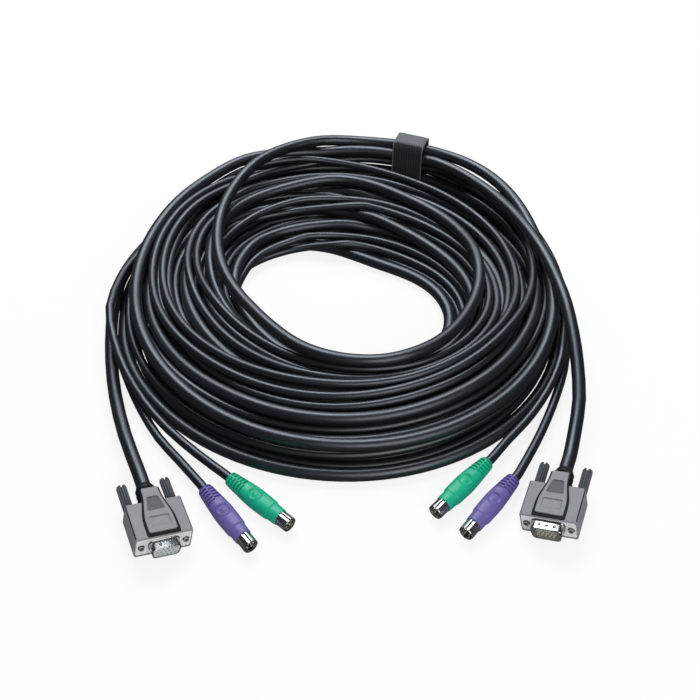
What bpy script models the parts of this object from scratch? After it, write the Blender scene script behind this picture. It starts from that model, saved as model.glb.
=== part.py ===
"""A coiled set of three extension cords: one video cord and two round-plug cords.

Each cord runs from a plug on the left, through a coil that lies flat, to a plug on the
right. Units are metres, +Z is up, and the set lies on Z = 0. The origin is the middle
of the whole set's footprint.
"""
import math

import bmesh
import bpy
import numpy as np
from mathutils import Vector

# Clearance between pieces that touch
CLEARANCE = 0.0003
# How far a cutter runs past the wall that it cuts
OVERSHOOT = 0.001
# Sides of the round shapes: large ones, middling ones, bores for screws and fine pins
SKIRT_SIDES = 24
BODY_SIDES = 20
ROUND_SIDES = 16
BORE_SIDES = 12
ROUND_PIN_SIDES = 8
CONTACT_SIDES = 6

# Middle of the coil, seen from the middle of the footprint
COIL_X = 0.0019
COIL_Y = 0.02904

# Cords
VIDEO_CORD_DIAMETER = 0.0083
ROUND_CORD_DIAMETER = 0.0056
# How far a lead reaches straight out of its plug before it bends
STRAIGHT_RUN = 0.012

# Coil, as the outer shape of all its turns
COIL_OUTER_RADIUS = 0.153
COIL_INNER_RADIUS_TOP = 0.088
COIL_INNER_RADIUS_FLOOR = 0.070
COIL_HEIGHT = 0.042
COIL_CORNER_RADIUS = 0.008
COIL_STEPS = 72

# Tie strap round the outer turns, at an angle round the coil
STRAP_ANGLE = math.radians(69.0)
STRAP_WIDTH = 0.022
STRAP_THICKNESS = 0.0015
STRAP_GRIP = 0.013
STRAP_CORNER_RADIUS = 0.0035

# Video plug hood
HOOD_WIDTH = 0.032
HOOD_THICKNESS = 0.015
HOOD_LENGTH = 0.025
HOOD_EDGE_RADIUS = 0.0014
PANEL_RISE = 0.0008
PANEL_SETBACK = 0.0025
PANEL_FRONT_WIDTH = 0.0188
PANEL_NECK_WIDTH = 0.0108
NECK_LENGTH = 0.0085
# The panel's side between its front and the hood's rear: how far back, as a share of the
# hood's length, and how far in, as a share of the way from front width to neck width
PANEL_SIDE = [(0.50, 0.05), (0.70, 0.28), (0.95, 0.72), (1.15, 0.95)]
RECESS_DEPTH = 0.0006
TAPER_RECESS_LENGTH = 0.0095
TAPER_RECESS_FRONT_WIDTH = 0.0098
TAPER_RECESS_REAR_WIDTH = 0.0062
TAPER_RECESS_FRONT = -0.0175
PLATE_RECESS_LENGTH = 0.0068
PLATE_RECESS_WIDTH = 0.0108
PLATE_RECESS_FRONT = -0.0065

# Video connector, to the size of the standard fifteen-way high-density type
SCREW_SPACING = 0.02499
FLANGE_WIDTH = 0.0308
FLANGE_HEIGHT = 0.0125
FLANGE_THICKNESS = 0.0008
FLANGE_CORNER_RADIUS = 0.0012
SHELL_WALL = 0.0005
SHELL_REACH = 0.0058
SOCKET_SHELL_WIDTH = 0.0163
SOCKET_SHELL_HEIGHT = 0.0079
PLUG_SHELL_WIDTH = 0.0177
PLUG_SHELL_HEIGHT = 0.0092
SHELL_CORNER_RADIUS = 0.0024
SHELL_SLANT = math.radians(10.0)
CONTACT_PITCH = 0.00229
CONTACT_ROW_PITCH = 0.00198
CONTACT_COLUMNS = 5
CONTACT_ROWS = 3
CONTACT_RADIUS = 0.00038
CONTACT_PLATE_THICKNESS = 0.0006
SOCKET_FACE = 0.0053
SOCKET_CONTACT_REACH = 0.0025
PIN_FACE = 0.0009
PIN_REACH = 0.0052
INSULATOR_DEPTH = 0.0065
COLLAR_MARGIN = 0.0009
INNER_MOULD_LENGTH = 0.0062

# Strain relief of the video plug
RELIEF_RADIUS = 0.0053
RELIEF_TAIL_RADIUS = 0.0048
RELIEF_LENGTH = 0.0075
RELIEF_GROOVE_DEPTH = 0.0006
RELIEF_GROOVE_WIDTH = 0.0009
RELIEF_BARREL_RADIUS = 0.0041

# Thumbscrews
SCREW_RADIUS = 0.0014
SCREW_PROUD = 0.0010
SCREW_IN_KNOB = 0.0080
KNOB_RADIUS = 0.0029
KNOB_LENGTH = 0.0153
KNOB_FLUTES = 10
KNOB_FLUTE_DEPTH = 0.0004
KNOB_SLOT_WIDTH = 0.0011
KNOB_SLOT_DEPTH = 0.0020

# Round plug: a moulded spindle with a ribbed tail and a metal skirt
PLUG_LENGTH = 0.043
PLUG_RADIUS = 0.0067
PLUG_FRONT_RADIUS = 0.0054
PLUG_SHOULDER_RADIUS = 0.0061
PLUG_TAIL_RADIUS = 0.0045
PLUG_WAIST_RADIUS = 0.0056
PLUG_HALF_HEIGHT = 0.0057
PLUG_WIDEST_FRONT = -0.015
PLUG_WIDEST_REAR = -0.022
PLUG_COLLAR_LENGTH = 0.0050
PLUG_COLLAR_SLOPE = 0.0013
TAIL_LENGTH = 0.0125
TAIL_SLOTS = 5
TAIL_SLOT_WIDTH = 0.0010
TAIL_SLOT_DEPTH = 0.0011
TAIL_SLOT_MARGIN = 0.0012
EMBLEM_X = -0.020
EMBLEM_RADIUS = 0.0033
EMBLEM_DEPTH = 0.0003
PLUG_CORD_BORE_DEPTH = 0.0050
SKIRT_RADIUS = 0.0045
SKIRT_WALL = 0.0004
SKIRT_REACH = 0.0072
SKIRT_SEAT = 0.0095
ROUND_PIN_RADIUS = 0.0004
ROUND_PIN_CIRCLE = 0.0026
ROUND_PIN_REACH = 0.0055
ROUND_PIN_PLATE = 0.0007
ROUND_PIN_ANGLES = [math.radians(a) for a in (35, 95, 150, -35, -95, -150)]
KEY_WIDTH = 0.0022
KEY_HEIGHT = 0.0009
KEY_RISE = 0.0008
KEY_REACH = 0.0045

# Where each video plug lies: the middle of its face, as an angle round the coil in degrees
# and how far beyond the coil's edge it is, the way that it points in degrees, and the roll
# that the cord's twist gives it
VIDEO_PLUG_ROLL = math.radians(14.0)
VIDEO_PLACES = {
    "left": {"angle": -115.17, "beyond": 0.07085, "heading": -66.0, "roll": -VIDEO_PLUG_ROLL},
    "right": {"angle": -58.92, "beyond": 0.07094, "heading": -112.0, "roll": VIDEO_PLUG_ROLL},
}

# Where each round plug lies: the middle of its front face, and the way that it points
ROUND_PLACES = {
    ("left", "keyboard"): {"angle": -105.04, "beyond": 0.04974, "heading": -52.4},
    ("left", "mouse"): {"angle": -100.21, "beyond": 0.03254, "heading": -41.6},
    ("right", "mouse"): {"angle": -71.25, "beyond": 0.03054, "heading": -133.0},
    ("right", "keyboard"): {"angle": -68.25, "beyond": 0.04887, "heading": -129.8},
}

# Lead routes from the coil towards the plug: the angle round the coil in degrees, the gap
# between the coil's edge and the cord, and how high the cord's underside is
LEAD_ROUTES = {
    ("left", "video"): [
        (-178.6, 0.0005, 0.0033),
        (-170.2, 0.0012, 0.0023),
        (-158.2, 0.0046, 0.0023),
        (-146.5, 0.0123, 0.0039),
        (-136.1, 0.0232, 0.0056),
    ],
    ("left", "keyboard"): [
        (-166.7, 0.0012, 0.0132),
        (-157.4, 0.0007, 0.0097),
        (-147.9, 0.0021, 0.0052),
        (-140.2, 0.0050, 0.0022),
        (-131.8, 0.0099, 0.0017),
        (-124.1, 0.0157, 0.0024),
    ],
    ("left", "mouse"): [
        (-168.9, 0.0003, 0.0234),
        (-159.1, 0.0011, 0.0197),
        (-149.7, 0.0017, 0.0147),
        (-140.3, 0.0022, 0.0092),
        (-131.3, 0.0033, 0.0057),
        (-121.7, 0.0058, 0.0034),
    ],
    ("right", "video"): [
        (-12.8, 0.0005, 0.0289),
        (-20.8, 0.0065, 0.0244),
        (-27.9, 0.0136, 0.0193),
        (-35.4, 0.0225, 0.0138),
        (-42.1, 0.0322, 0.0089),
    ],
    ("right", "mouse"): [
        (-25.0, 0.0006, 0.0122),
        (-31.7, 0.0022, 0.0092),
        (-38.9, 0.0035, 0.0067),
        (-45.2, 0.0047, 0.0047),
        (-51.5, 0.0065, 0.0034),
    ],
    ("right", "keyboard"): [
        (-17.9, 0.0007, 0.0062),
        (-25.5, 0.0043, 0.0042),
        (-33.4, 0.0077, 0.0024),
        (-40.4, 0.0123, 0.0018),
        (-47.4, 0.0187, 0.0022),
    ],
}

# Colours, roughness and metal share of the finishes
FINISHES = {
    "cord_jacket": ((0.030, 0.033, 0.040), 0.50, 0.0),
    "strap_fabric": ((0.035, 0.038, 0.045), 0.85, 0.0),
    "hood_plastic": ((0.290, 0.300, 0.320), 0.55, 0.0),
    "knob_plastic": ((0.100, 0.108, 0.120), 0.50, 0.0),
    "relief_rubber": ((0.022, 0.024, 0.028), 0.55, 0.0),
    "plated_steel": ((0.720, 0.730, 0.740), 0.28, 1.0),
    "screw_steel": ((0.600, 0.600, 0.600), 0.35, 1.0),
    "contact_gold": ((0.830, 0.650, 0.300), 0.30, 1.0),
    "socket_plastic": ((0.620, 0.640, 0.650), 0.55, 0.0),
    "pin_plastic": ((0.030, 0.030, 0.032), 0.50, 0.0),
    "inner_plastic": ((0.060, 0.060, 0.060), 0.60, 0.0),
    "keyboard_purple": ((0.160, 0.130, 0.400), 0.45, 0.0),
    "mouse_green": ((0.008, 0.430, 0.220), 0.45, 0.0),
}

for old in list(bpy.data.objects):
    bpy.data.objects.remove(old, do_unlink=True)

PARTS = bpy.data.collections.new("kvm_cable")
CUTTERS = bpy.data.collections.new("cutters")
bpy.context.scene.collection.children.link(PARTS)
bpy.context.scene.collection.children.link(CUTTERS)


def make_finish(name):
    colour, roughness, metal = FINISHES[name]
    finish = bpy.data.materials.new(name)
    finish.use_nodes = True
    shader = finish.node_tree.nodes["Principled BSDF"]
    shader.inputs["Base Color"].default_value = (*colour, 1.0)
    shader.inputs["Roughness"].default_value = roughness
    shader.inputs["Metallic"].default_value = metal
    return finish


MATERIALS = {name: make_finish(name) for name in FINISHES}


def make_empty(name, location, rotation=(0.0, 0.0, 0.0), parent=None):
    empty = bpy.data.objects.new(name, None)
    empty.location = location
    empty.rotation_euler = rotation
    empty.parent = parent
    PARTS.objects.link(empty)
    return empty


def link_piece(mesh, name, parent, finish, location=(0.0, 0.0, 0.0), rotation=(0.0, 0.0, 0.0)):
    piece = bpy.data.objects.new(name, mesh)
    piece.location = location
    piece.rotation_euler = rotation
    piece.parent = parent
    if finish:
        mesh.materials.append(MATERIALS[finish])
    PARTS.objects.link(piece)
    return piece


def hide_as_cutter(piece):
    PARTS.objects.unlink(piece)
    CUTTERS.objects.link(piece)
    piece.hide_render = True
    piece.display_type = "WIRE"
    return piece


def combine(piece, other, operation):
    hide_as_cutter(other)
    change = piece.modifiers.new(other.name, "BOOLEAN")
    change.operation = operation
    change.solver = "EXACT"
    change.object = other


def cut(piece, cutter):
    combine(piece, cutter, "DIFFERENCE")


def join(piece, other):
    combine(piece, other, "UNION")


def smooth_round(mesh, angle=math.radians(35)):
    mesh.shade_smooth()
    mesh.set_sharp_from_angle(angle=angle)


def box_mesh(name, size, centre):
    bm = bmesh.new()
    bmesh.ops.create_cube(bm, size=1.0)
    bmesh.ops.scale(bm, vec=size, verts=bm.verts)
    bmesh.ops.translate(bm, vec=centre, verts=bm.verts)
    mesh = bpy.data.meshes.new(name)
    bm.to_mesh(mesh)
    bm.free()
    return mesh


def make_box(name, parent, x_range, width, height, finish=None, z=0.0):
    """A box along the plug's axis, from x_range[0] to x_range[1]."""
    length = x_range[1] - x_range[0]
    middle = (x_range[0] + x_range[1]) / 2
    mesh = box_mesh(name, (length, width, height), (middle, 0.0, z))
    return link_piece(mesh, name, parent, finish)


def curve_to_mesh_piece(curve, name, parent, finish, location, rotation):
    holder = bpy.data.objects.new(name + "_curve", curve)
    PARTS.objects.link(holder)
    graph = bpy.context.evaluated_depsgraph_get()
    graph.update()
    mesh = bpy.data.meshes.new_from_object(holder.evaluated_get(graph))
    mesh.name = name
    bpy.data.objects.remove(holder, do_unlink=True)
    bm = bmesh.new()
    bm.from_mesh(mesh)
    bmesh.ops.remove_doubles(bm, verts=bm.verts, dist=0.000001)
    bm.to_mesh(mesh)
    bm.free()
    mesh.materials.clear()
    return link_piece(mesh, name, parent, finish, location, rotation)


def make_plate(name, parent, outlines, x_range, finish=None):
    """A flat plate across the plug's axis; each outline is a list of (y, z) points."""
    curve = bpy.data.curves.new(name, "CURVE")
    curve.dimensions = "2D"
    curve.fill_mode = "BOTH"
    curve.extrude = (x_range[1] - x_range[0]) / 2
    for outline in outlines:
        add_closed_spline(curve, outline)
    middle = (x_range[0] + x_range[1]) / 2
    turn = (math.pi / 2, 0.0, math.pi / 2)
    return curve_to_mesh_piece(curve, name, parent, finish, (middle, 0.0, 0.0), turn)


def make_slab(name, parent, outline, z_range, finish=None):
    """A slab that lies flat; its outline is a list of (x, y) points."""
    curve = bpy.data.curves.new(name, "CURVE")
    curve.dimensions = "2D"
    curve.fill_mode = "BOTH"
    curve.extrude = (z_range[1] - z_range[0]) / 2
    add_closed_spline(curve, outline)
    middle = (z_range[0] + z_range[1]) / 2
    return curve_to_mesh_piece(curve, name, parent, finish, (0.0, 0.0, middle), (0.0, 0.0, 0.0))


def add_closed_spline(curve, outline):
    spline = curve.splines.new("POLY")
    spline.points.add(len(outline) - 1)
    for point, (a, b) in zip(spline.points, outline):
        point.co = (a, b, 0.0, 1.0)
    spline.use_cyclic_u = True


def make_turned(name, parent, profile, steps, finish=None, along_x=True):
    """A turned solid from (radius, height) points that run down its outer side."""
    mesh = bpy.data.meshes.new(name)
    points = [(radius, 0.0, height) for radius, height in profile]
    closed = profile[0][0] > 0
    edges = [(i, i + 1) for i in range(len(points) - 1)]
    if closed:
        edges.append((len(points) - 1, 0))
    mesh.from_pydata(points, edges, [])
    turn = (0.0, math.pi / 2, 0.0) if along_x else (0.0, 0.0, 0.0)
    piece = link_piece(mesh, name, parent, finish, rotation=turn)
    screw = piece.modifiers.new("turn", "SCREW")
    screw.steps = steps
    screw.render_steps = steps
    screw.use_merge_vertices = True
    screw.merge_threshold = 0.00001
    screw.use_smooth_shade = True
    return piece


def make_rod(name, parent, radius, x_range, steps, finish=None, y=0.0):
    profile = [(0.0, x_range[1]), (radius, x_range[1]), (radius, x_range[0]), (0.0, x_range[0])]
    rod = make_turned(name, parent, profile, steps, finish)
    rod.location = (0.0, y, 0.0)
    return rod


def beside_coil(angle, beyond, height):
    """The point at an angle round the coil, in degrees, so far beyond the coil's edge."""
    turn = math.radians(angle)
    reach = COIL_OUTER_RADIUS + beyond
    return (reach * math.cos(turn), reach * math.sin(turn), height)


def arc_points(centre, radius, start, end, count):
    angles = np.linspace(start, end, count)
    return [(centre[0] + radius * math.cos(a), centre[1] + radius * math.sin(a)) for a in angles]


def circle_outline(centre, radius, sides):
    angles = [2 * math.pi * (i + 0.5) / sides for i in range(sides)]
    return [(centre[0] + radius * math.cos(a), centre[1] + radius * math.sin(a)) for a in angles]


def rounded_outline(low, high, radius, corner_points=4):
    """A rectangle with round corners, counter-clockwise from its lower right one."""
    (x0, y0), (x1, y1) = low, high
    quarter = math.pi / 2
    centres = [(x1 - radius, y0 + radius), (x1 - radius, y1 - radius)]
    centres += [(x0 + radius, y1 - radius), (x0 + radius, y0 + radius)]
    points = []
    for i, centre in enumerate(centres):
        points += arc_points(centre, radius, (i - 1) * quarter, i * quarter, corner_points)
    return points


def shell_outline(width, height, radius, corner_points=4):
    """The slanted outline of a video connector, with its wide side up."""
    half = width / 2 - radius
    rise = height / 2 - radius
    inset = 2 * rise * math.tan(SHELL_SLANT)
    top_end = math.pi / 2
    side = -SHELL_SLANT
    bottom_end = -math.pi / 2
    right = arc_points((half - inset, -rise), radius, bottom_end, side, corner_points)
    right += arc_points((half, rise), radius, side, top_end, corner_points)
    left = [(-y, z) for y, z in reversed(right)]
    return right + left


def contact_places(facing):
    """Contact positions as (y, z); facing is 1 for pins and -1 for the socket."""
    places = []
    for row in range(CONTACT_ROWS):
        shift = CONTACT_PITCH / 4 * (1 if row % 2 else -1) * facing
        z = (row - (CONTACT_ROWS - 1) / 2) * CONTACT_ROW_PITCH
        for column in range(CONTACT_COLUMNS):
            y = (column - (CONTACT_COLUMNS - 1) / 2) * CONTACT_PITCH + shift
            places.append((y, z))
    return places


def make_hood(name, parent):
    """The moulded hood: a rounded block with a raised middle that narrows to a neck."""
    length = HOOD_LENGTH
    hood_high = (HOOD_WIDTH / 2, HOOD_THICKNESS / 2)
    hood_low = (-HOOD_WIDTH / 2, -HOOD_THICKNESS / 2)
    block = rounded_outline(hood_low, hood_high, HOOD_EDGE_RADIUS, 3)
    hood = make_plate(name, parent, [block], (-length, 0.0), "hood_plastic")

    front = PANEL_FRONT_WIDTH / 2
    neck = PANEL_NECK_WIDTH / 2
    neck_end = -length - NECK_LENGTH
    side = [(-PANEL_SETBACK, front)]
    side += [(-length * back, front - share * (front - neck)) for back, share in PANEL_SIDE]
    side += [(neck_end, neck)]
    outline = side + [(x, -y) for x, y in reversed(side)]
    half_thick = HOOD_THICKNESS / 2 + PANEL_RISE
    panel = make_slab(name + "_panel", parent, outline, (-half_thick, half_thick), "hood_plastic")
    join(hood, panel)

    taper_rear = TAPER_RECESS_FRONT - TAPER_RECESS_LENGTH
    half_front = TAPER_RECESS_FRONT_WIDTH / 2
    half_rear = TAPER_RECESS_REAR_WIDTH / 2
    taper = [
        (TAPER_RECESS_FRONT, -half_front),
        (TAPER_RECESS_FRONT, half_front),
        (taper_rear, half_rear),
        (taper_rear, -half_rear),
    ]
    recess_floor = half_thick - RECESS_DEPTH
    recess_range = (recess_floor, half_thick + OVERSHOOT)
    cut(hood, make_slab(name + "_taper_recess", parent, taper, recess_range))

    plate_rear = PLATE_RECESS_FRONT - PLATE_RECESS_LENGTH
    plate_half = PLATE_RECESS_WIDTH / 2
    plate = [
        (PLATE_RECESS_FRONT, -plate_half),
        (PLATE_RECESS_FRONT, plate_half),
        (plate_rear, plate_half),
        (plate_rear, -plate_half),
    ]
    cut(hood, make_slab(name + "_plate_recess", parent, plate, recess_range))

    seat_depth = FLANGE_THICKNESS + 2 * CLEARANCE
    seat = flange_outline(CLEARANCE)
    cut(hood, make_plate(name + "_flange_seat", parent, [seat], (-seat_depth, OVERSHOOT)))

    pocket_range = (-pocket_depth(), -seat_depth + OVERSHOOT / 2)
    pocket_width = collar_width() + 2 * CLEARANCE
    pocket_height = collar_height() + 2 * CLEARANCE
    cut(hood, make_box(name + "_pocket", parent, pocket_range, pocket_width, pocket_height))

    bore_range = (neck_end - OVERSHOOT, -pocket_depth() + OVERSHOOT)
    bore_radius = RELIEF_BARREL_RADIUS + CLEARANCE
    cut(hood, make_rod(name + "_cord_bore", parent, bore_radius, bore_range, ROUND_SIDES))

    screw_range = (-length - OVERSHOOT, OVERSHOOT)
    for hand, y in (("a", -SCREW_SPACING / 2), ("b", SCREW_SPACING / 2)):
        screw_bore = SCREW_RADIUS + CLEARANCE
        cut(hood, make_rod(f"{name}_screw_bore_{hand}", parent, screw_bore, screw_range, BORE_SIDES, y=y))
    return hood


def collar_width():
    return PLUG_SHELL_WIDTH + 2 * COLLAR_MARGIN


def collar_height():
    return PLUG_SHELL_HEIGHT + COLLAR_MARGIN


def insulator_back():
    return -FLANGE_THICKNESS - 2 * CLEARANCE - INSULATOR_DEPTH


def contact_plate_back():
    return insulator_back() - CLEARANCE - CONTACT_PLATE_THICKNESS


def pocket_depth():
    return -contact_plate_back() + 2 * CLEARANCE + INNER_MOULD_LENGTH


def flange_outline(grow):
    low = (-FLANGE_WIDTH / 2 - grow, -FLANGE_HEIGHT / 2 - grow)
    high = (FLANGE_WIDTH / 2 + grow, FLANGE_HEIGHT / 2 + grow)
    return rounded_outline(low, high, FLANGE_CORNER_RADIUS + grow, 3)


def make_metal_shell(name, parent, width, height):
    """The plated flange with its slanted skirt, open right through."""
    flange = flange_outline(0.0)
    wall = SHELL_WALL
    opening = shell_outline(width - wall, height - wall, SHELL_CORNER_RADIUS - wall / 2)
    hole = SCREW_RADIUS + CLEARANCE
    screw_places = (-SCREW_SPACING / 2, SCREW_SPACING / 2)
    outlines = [flange, opening]
    outlines += [circle_outline((y, 0.0), hole, BORE_SIDES) for y in screw_places]
    flange_range = (-FLANGE_THICKNESS - CLEARANCE, -CLEARANCE)
    shell = make_plate(name, parent, outlines, flange_range, "plated_steel")
    outer = shell_outline(width, height, SHELL_CORNER_RADIUS)
    inner = shell_outline(width - 2 * wall, height - 2 * wall, SHELL_CORNER_RADIUS - wall)
    skirt_range = (-FLANGE_THICKNESS / 2 - CLEARANCE, SHELL_REACH)
    join(shell, make_plate(name + "_skirt", parent, [outer, inner], skirt_range))
    return shell


def make_insulator(name, parent, width, height, face, facing, finish):
    inset = 2 * (SHELL_WALL + CLEARANCE)
    radius = SHELL_CORNER_RADIUS - SHELL_WALL - CLEARANCE
    nose = shell_outline(width - inset, height - inset, radius)
    back = insulator_back()
    insulator = make_plate(name, parent, [nose], (back, face), finish)
    collar_range = (back, -FLANGE_THICKNESS - 2 * CLEARANCE)
    collar_size = (collar_width(), collar_height())
    collar = make_box(name + "_collar", parent, collar_range, *collar_size)
    join(insulator, collar)
    hole = CONTACT_RADIUS + CLEARANCE
    holes = [circle_outline(place, hole, CONTACT_SIDES) for place in contact_places(facing)]
    hole_range = (back - OVERSHOOT, face + OVERSHOOT)
    cut(insulator, make_plate(name + "_holes", parent, holes, hole_range))
    return insulator


def make_contacts(name, parent, reach, facing):
    """All contacts of one connector, held by the thin carrier behind the insulator."""
    plate_width = CONTACT_COLUMNS * CONTACT_PITCH + CONTACT_PITCH / 2
    plate_height = CONTACT_ROWS * CONTACT_ROW_PITCH
    plate_range = (contact_plate_back(), insulator_back() - CLEARANCE)
    contacts = make_box(name, parent, plate_range, plate_width, plate_height, "contact_gold")
    pins = [circle_outline(place, CONTACT_RADIUS, CONTACT_SIDES) for place in contact_places(facing)]
    pin_range = (contact_plate_back() + CONTACT_PLATE_THICKNESS / 2, reach)
    join(contacts, make_plate(name + "_pins", parent, pins, pin_range))
    return contacts


def make_inner_mould(name, parent):
    front = contact_plate_back() - CLEARANCE
    mould_range = (front - INNER_MOULD_LENGTH, front)
    size = (collar_width(), collar_height())
    return make_box(name, parent, mould_range, *size, "inner_plastic")


def relief_back():
    return -HOOD_LENGTH - NECK_LENGTH - CLEARANCE - RELIEF_LENGTH


def make_strain_relief(name, parent):
    """The ringed sleeve behind the neck, with the barrel that the hood holds."""
    seat = -HOOD_LENGTH - NECK_LENGTH - CLEARANCE
    tip = -pocket_depth() - CLEARANCE
    groove = RELIEF_GROOVE_WIDTH
    land = (RELIEF_LENGTH - 2 * groove) / 3
    low = RELIEF_RADIUS - RELIEF_GROOVE_DEPTH
    profile = [
        (0.0, tip),
        (RELIEF_BARREL_RADIUS, tip),
        (RELIEF_BARREL_RADIUS, seat),
        (RELIEF_RADIUS, seat),
        (RELIEF_RADIUS, seat - land),
        (low, seat - land),
        (low, seat - land - groove),
        (RELIEF_RADIUS, seat - land - groove),
        (RELIEF_RADIUS, seat - 2 * land - groove),
        (low, seat - 2 * land - groove),
        (low, seat - 2 * land - 2 * groove),
        (RELIEF_TAIL_RADIUS, seat - 2 * land - 2 * groove),
        (RELIEF_TAIL_RADIUS, relief_back()),
        (0.0, relief_back()),
    ]
    return make_turned(name, parent, profile, BODY_SIDES, "relief_rubber")


def make_thumbscrew(side, hand, parent, y):
    """A knob and its screw on one axis, which is the parent's X through y."""
    axis = make_empty(f"{side}_vga_thumbscrew_{hand}_axis", (0.0, y, 0.0), parent=parent)
    knob_front = -HOOD_LENGTH - CLEARANCE
    knob_back = knob_front - KNOB_LENGTH
    flutes = []
    for i in range(2 * KNOB_FLUTES):
        angle = math.pi * i / KNOB_FLUTES
        radius = KNOB_RADIUS - (KNOB_FLUTE_DEPTH if i % 2 else 0.0)
        flutes.append((radius * math.cos(angle), radius * math.sin(angle)))
    name = f"{side}_vga_knob_{hand}"
    knob = make_plate(name, axis, [flutes], (knob_back, knob_front), "knob_plastic")
    bore_range = (knob_front - SCREW_IN_KNOB - CLEARANCE, knob_front + OVERSHOOT)
    cut(knob, make_rod(name + "_bore", axis, SCREW_RADIUS + CLEARANCE, bore_range, BORE_SIDES))
    slot_range = (knob_back - OVERSHOOT, knob_back + KNOB_SLOT_DEPTH)
    slot_length = 2 * KNOB_RADIUS + 2 * OVERSHOOT
    cut(knob, make_box(name + "_slot", axis, slot_range, slot_length, KNOB_SLOT_WIDTH))
    screw_range = (knob_front - SCREW_IN_KNOB, SCREW_PROUD)
    make_rod(f"{side}_vga_screw_{hand}", axis, SCREW_RADIUS, screw_range, BORE_SIDES, "screw_steel")


def video_plug_height():
    """Height of the plug's axis when its hood lies rolled on one rounded lower edge."""
    across = HOOD_WIDTH / 2 - HOOD_EDGE_RADIUS
    up = HOOD_THICKNESS / 2 - HOOD_EDGE_RADIUS
    roll = VIDEO_PLUG_ROLL
    return across * math.sin(roll) + up * math.cos(roll) + HOOD_EDGE_RADIUS


def make_video_plug(side, root):
    place = VIDEO_PLACES[side]
    location = beside_coil(place["angle"], place["beyond"], video_plug_height())
    turn = (place["roll"], 0.0, math.radians(place["heading"]))
    parent = make_empty(f"{side}_vga_place", location, turn, root)
    is_socket = side == "left"
    width = SOCKET_SHELL_WIDTH if is_socket else PLUG_SHELL_WIDTH
    height = SOCKET_SHELL_HEIGHT if is_socket else PLUG_SHELL_HEIGHT
    face = SOCKET_FACE if is_socket else PIN_FACE
    reach = SOCKET_CONTACT_REACH if is_socket else PIN_REACH
    facing = -1 if is_socket else 1
    plastic = "socket_plastic" if is_socket else "pin_plastic"
    make_hood(f"{side}_vga_hood", parent)
    make_strain_relief(f"{side}_vga_strain_relief", parent)
    make_metal_shell(f"{side}_vga_metal_shell", parent, width, height)
    make_insulator(f"{side}_vga_insulator", parent, width, height, face, facing, plastic)
    make_contacts(f"{side}_vga_contacts", parent, reach, facing)
    make_inner_mould(f"{side}_vga_inner_mould", parent)
    make_thumbscrew(side, "a", parent, -SCREW_SPACING / 2)
    make_thumbscrew(side, "b", parent, SCREW_SPACING / 2)


def make_plug_body(name, parent, finish):
    """The moulded body: a spindle with flats above and below, and slots in its tail."""
    tail_end = -PLUG_LENGTH
    tail_front = tail_end + TAIL_LENGTH
    collar = -PLUG_COLLAR_LENGTH
    bore = SKIRT_RADIUS + CLEARANCE
    bore_back = -SKIRT_SEAT - ROUND_PIN_PLATE - 2 * CLEARANCE
    profile = [
        (0.0, bore_back),
        (bore, bore_back),
        (bore, 0.0),
        (PLUG_FRONT_RADIUS, 0.0),
        (PLUG_FRONT_RADIUS, collar),
        (PLUG_SHOULDER_RADIUS, collar - PLUG_COLLAR_SLOPE),
        (PLUG_RADIUS, PLUG_WIDEST_FRONT),
        (PLUG_RADIUS, PLUG_WIDEST_REAR),
        (PLUG_WAIST_RADIUS, tail_front),
        (PLUG_TAIL_RADIUS, tail_end),
        (ROUND_CORD_DIAMETER / 2 + CLEARANCE, tail_end),
        (ROUND_CORD_DIAMETER / 2 + CLEARANCE, tail_end + PLUG_CORD_BORE_DEPTH),
        (0.0, tail_end + PLUG_CORD_BORE_DEPTH),
    ]
    body = make_turned(name, parent, profile, BODY_SIDES, finish)
    flat_range = (-PLUG_LENGTH - OVERSHOOT, OVERSHOOT)
    for hand, sign in (("top", 1), ("bottom", -1)):
        depth = PLUG_RADIUS - PLUG_HALF_HEIGHT + OVERSHOOT
        z = sign * (PLUG_HALF_HEIGHT + depth / 2)
        width = 2 * PLUG_RADIUS + 2 * OVERSHOOT
        cut(body, make_box(f"{name}_flat_{hand}", parent, flat_range, width, depth, z=z))
    usable = TAIL_LENGTH - 2 * TAIL_SLOT_MARGIN
    pitch = usable / TAIL_SLOTS
    for i in range(TAIL_SLOTS):
        x = tail_end + TAIL_SLOT_MARGIN + (i + 0.5) * pitch
        along = (x - tail_end) / TAIL_LENGTH
        radius = PLUG_TAIL_RADIUS + along * (PLUG_WAIST_RADIUS - PLUG_TAIL_RADIUS)
        depth = TAIL_SLOT_DEPTH + OVERSHOOT
        slot_range = (x - TAIL_SLOT_WIDTH / 2, x + TAIL_SLOT_WIDTH / 2)
        width = 2 * radius + 2 * OVERSHOOT
        for hand, sign in (("top", 1), ("bottom", -1)):
            z = sign * (radius - TAIL_SLOT_DEPTH + depth / 2)
            cut(body, make_box(f"{name}_slot_{hand}_{i}", parent, slot_range, width, depth, z=z))
    floor = PLUG_HALF_HEIGHT - EMBLEM_DEPTH
    emblem = make_slab(
        name + "_emblem",
        parent,
        circle_outline((EMBLEM_X, 0.0), EMBLEM_RADIUS, ROUND_SIDES),
        (floor, floor + EMBLEM_DEPTH + OVERSHOOT),
    )
    cut(body, emblem)
    return body


def make_skirt(name, parent):
    """The round metal skirt of a plug, open at both ends."""
    inner = SKIRT_RADIUS - SKIRT_WALL
    profile = [
        (inner, SKIRT_REACH),
        (SKIRT_RADIUS, SKIRT_REACH),
        (SKIRT_RADIUS, -SKIRT_SEAT),
        (inner, -SKIRT_SEAT),
    ]
    return make_turned(name, parent, profile, SKIRT_SIDES, "plated_steel")


def round_pin_places():
    circle = ROUND_PIN_CIRCLE
    return [(circle * math.sin(a), circle * math.cos(a)) for a in ROUND_PIN_ANGLES]


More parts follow.
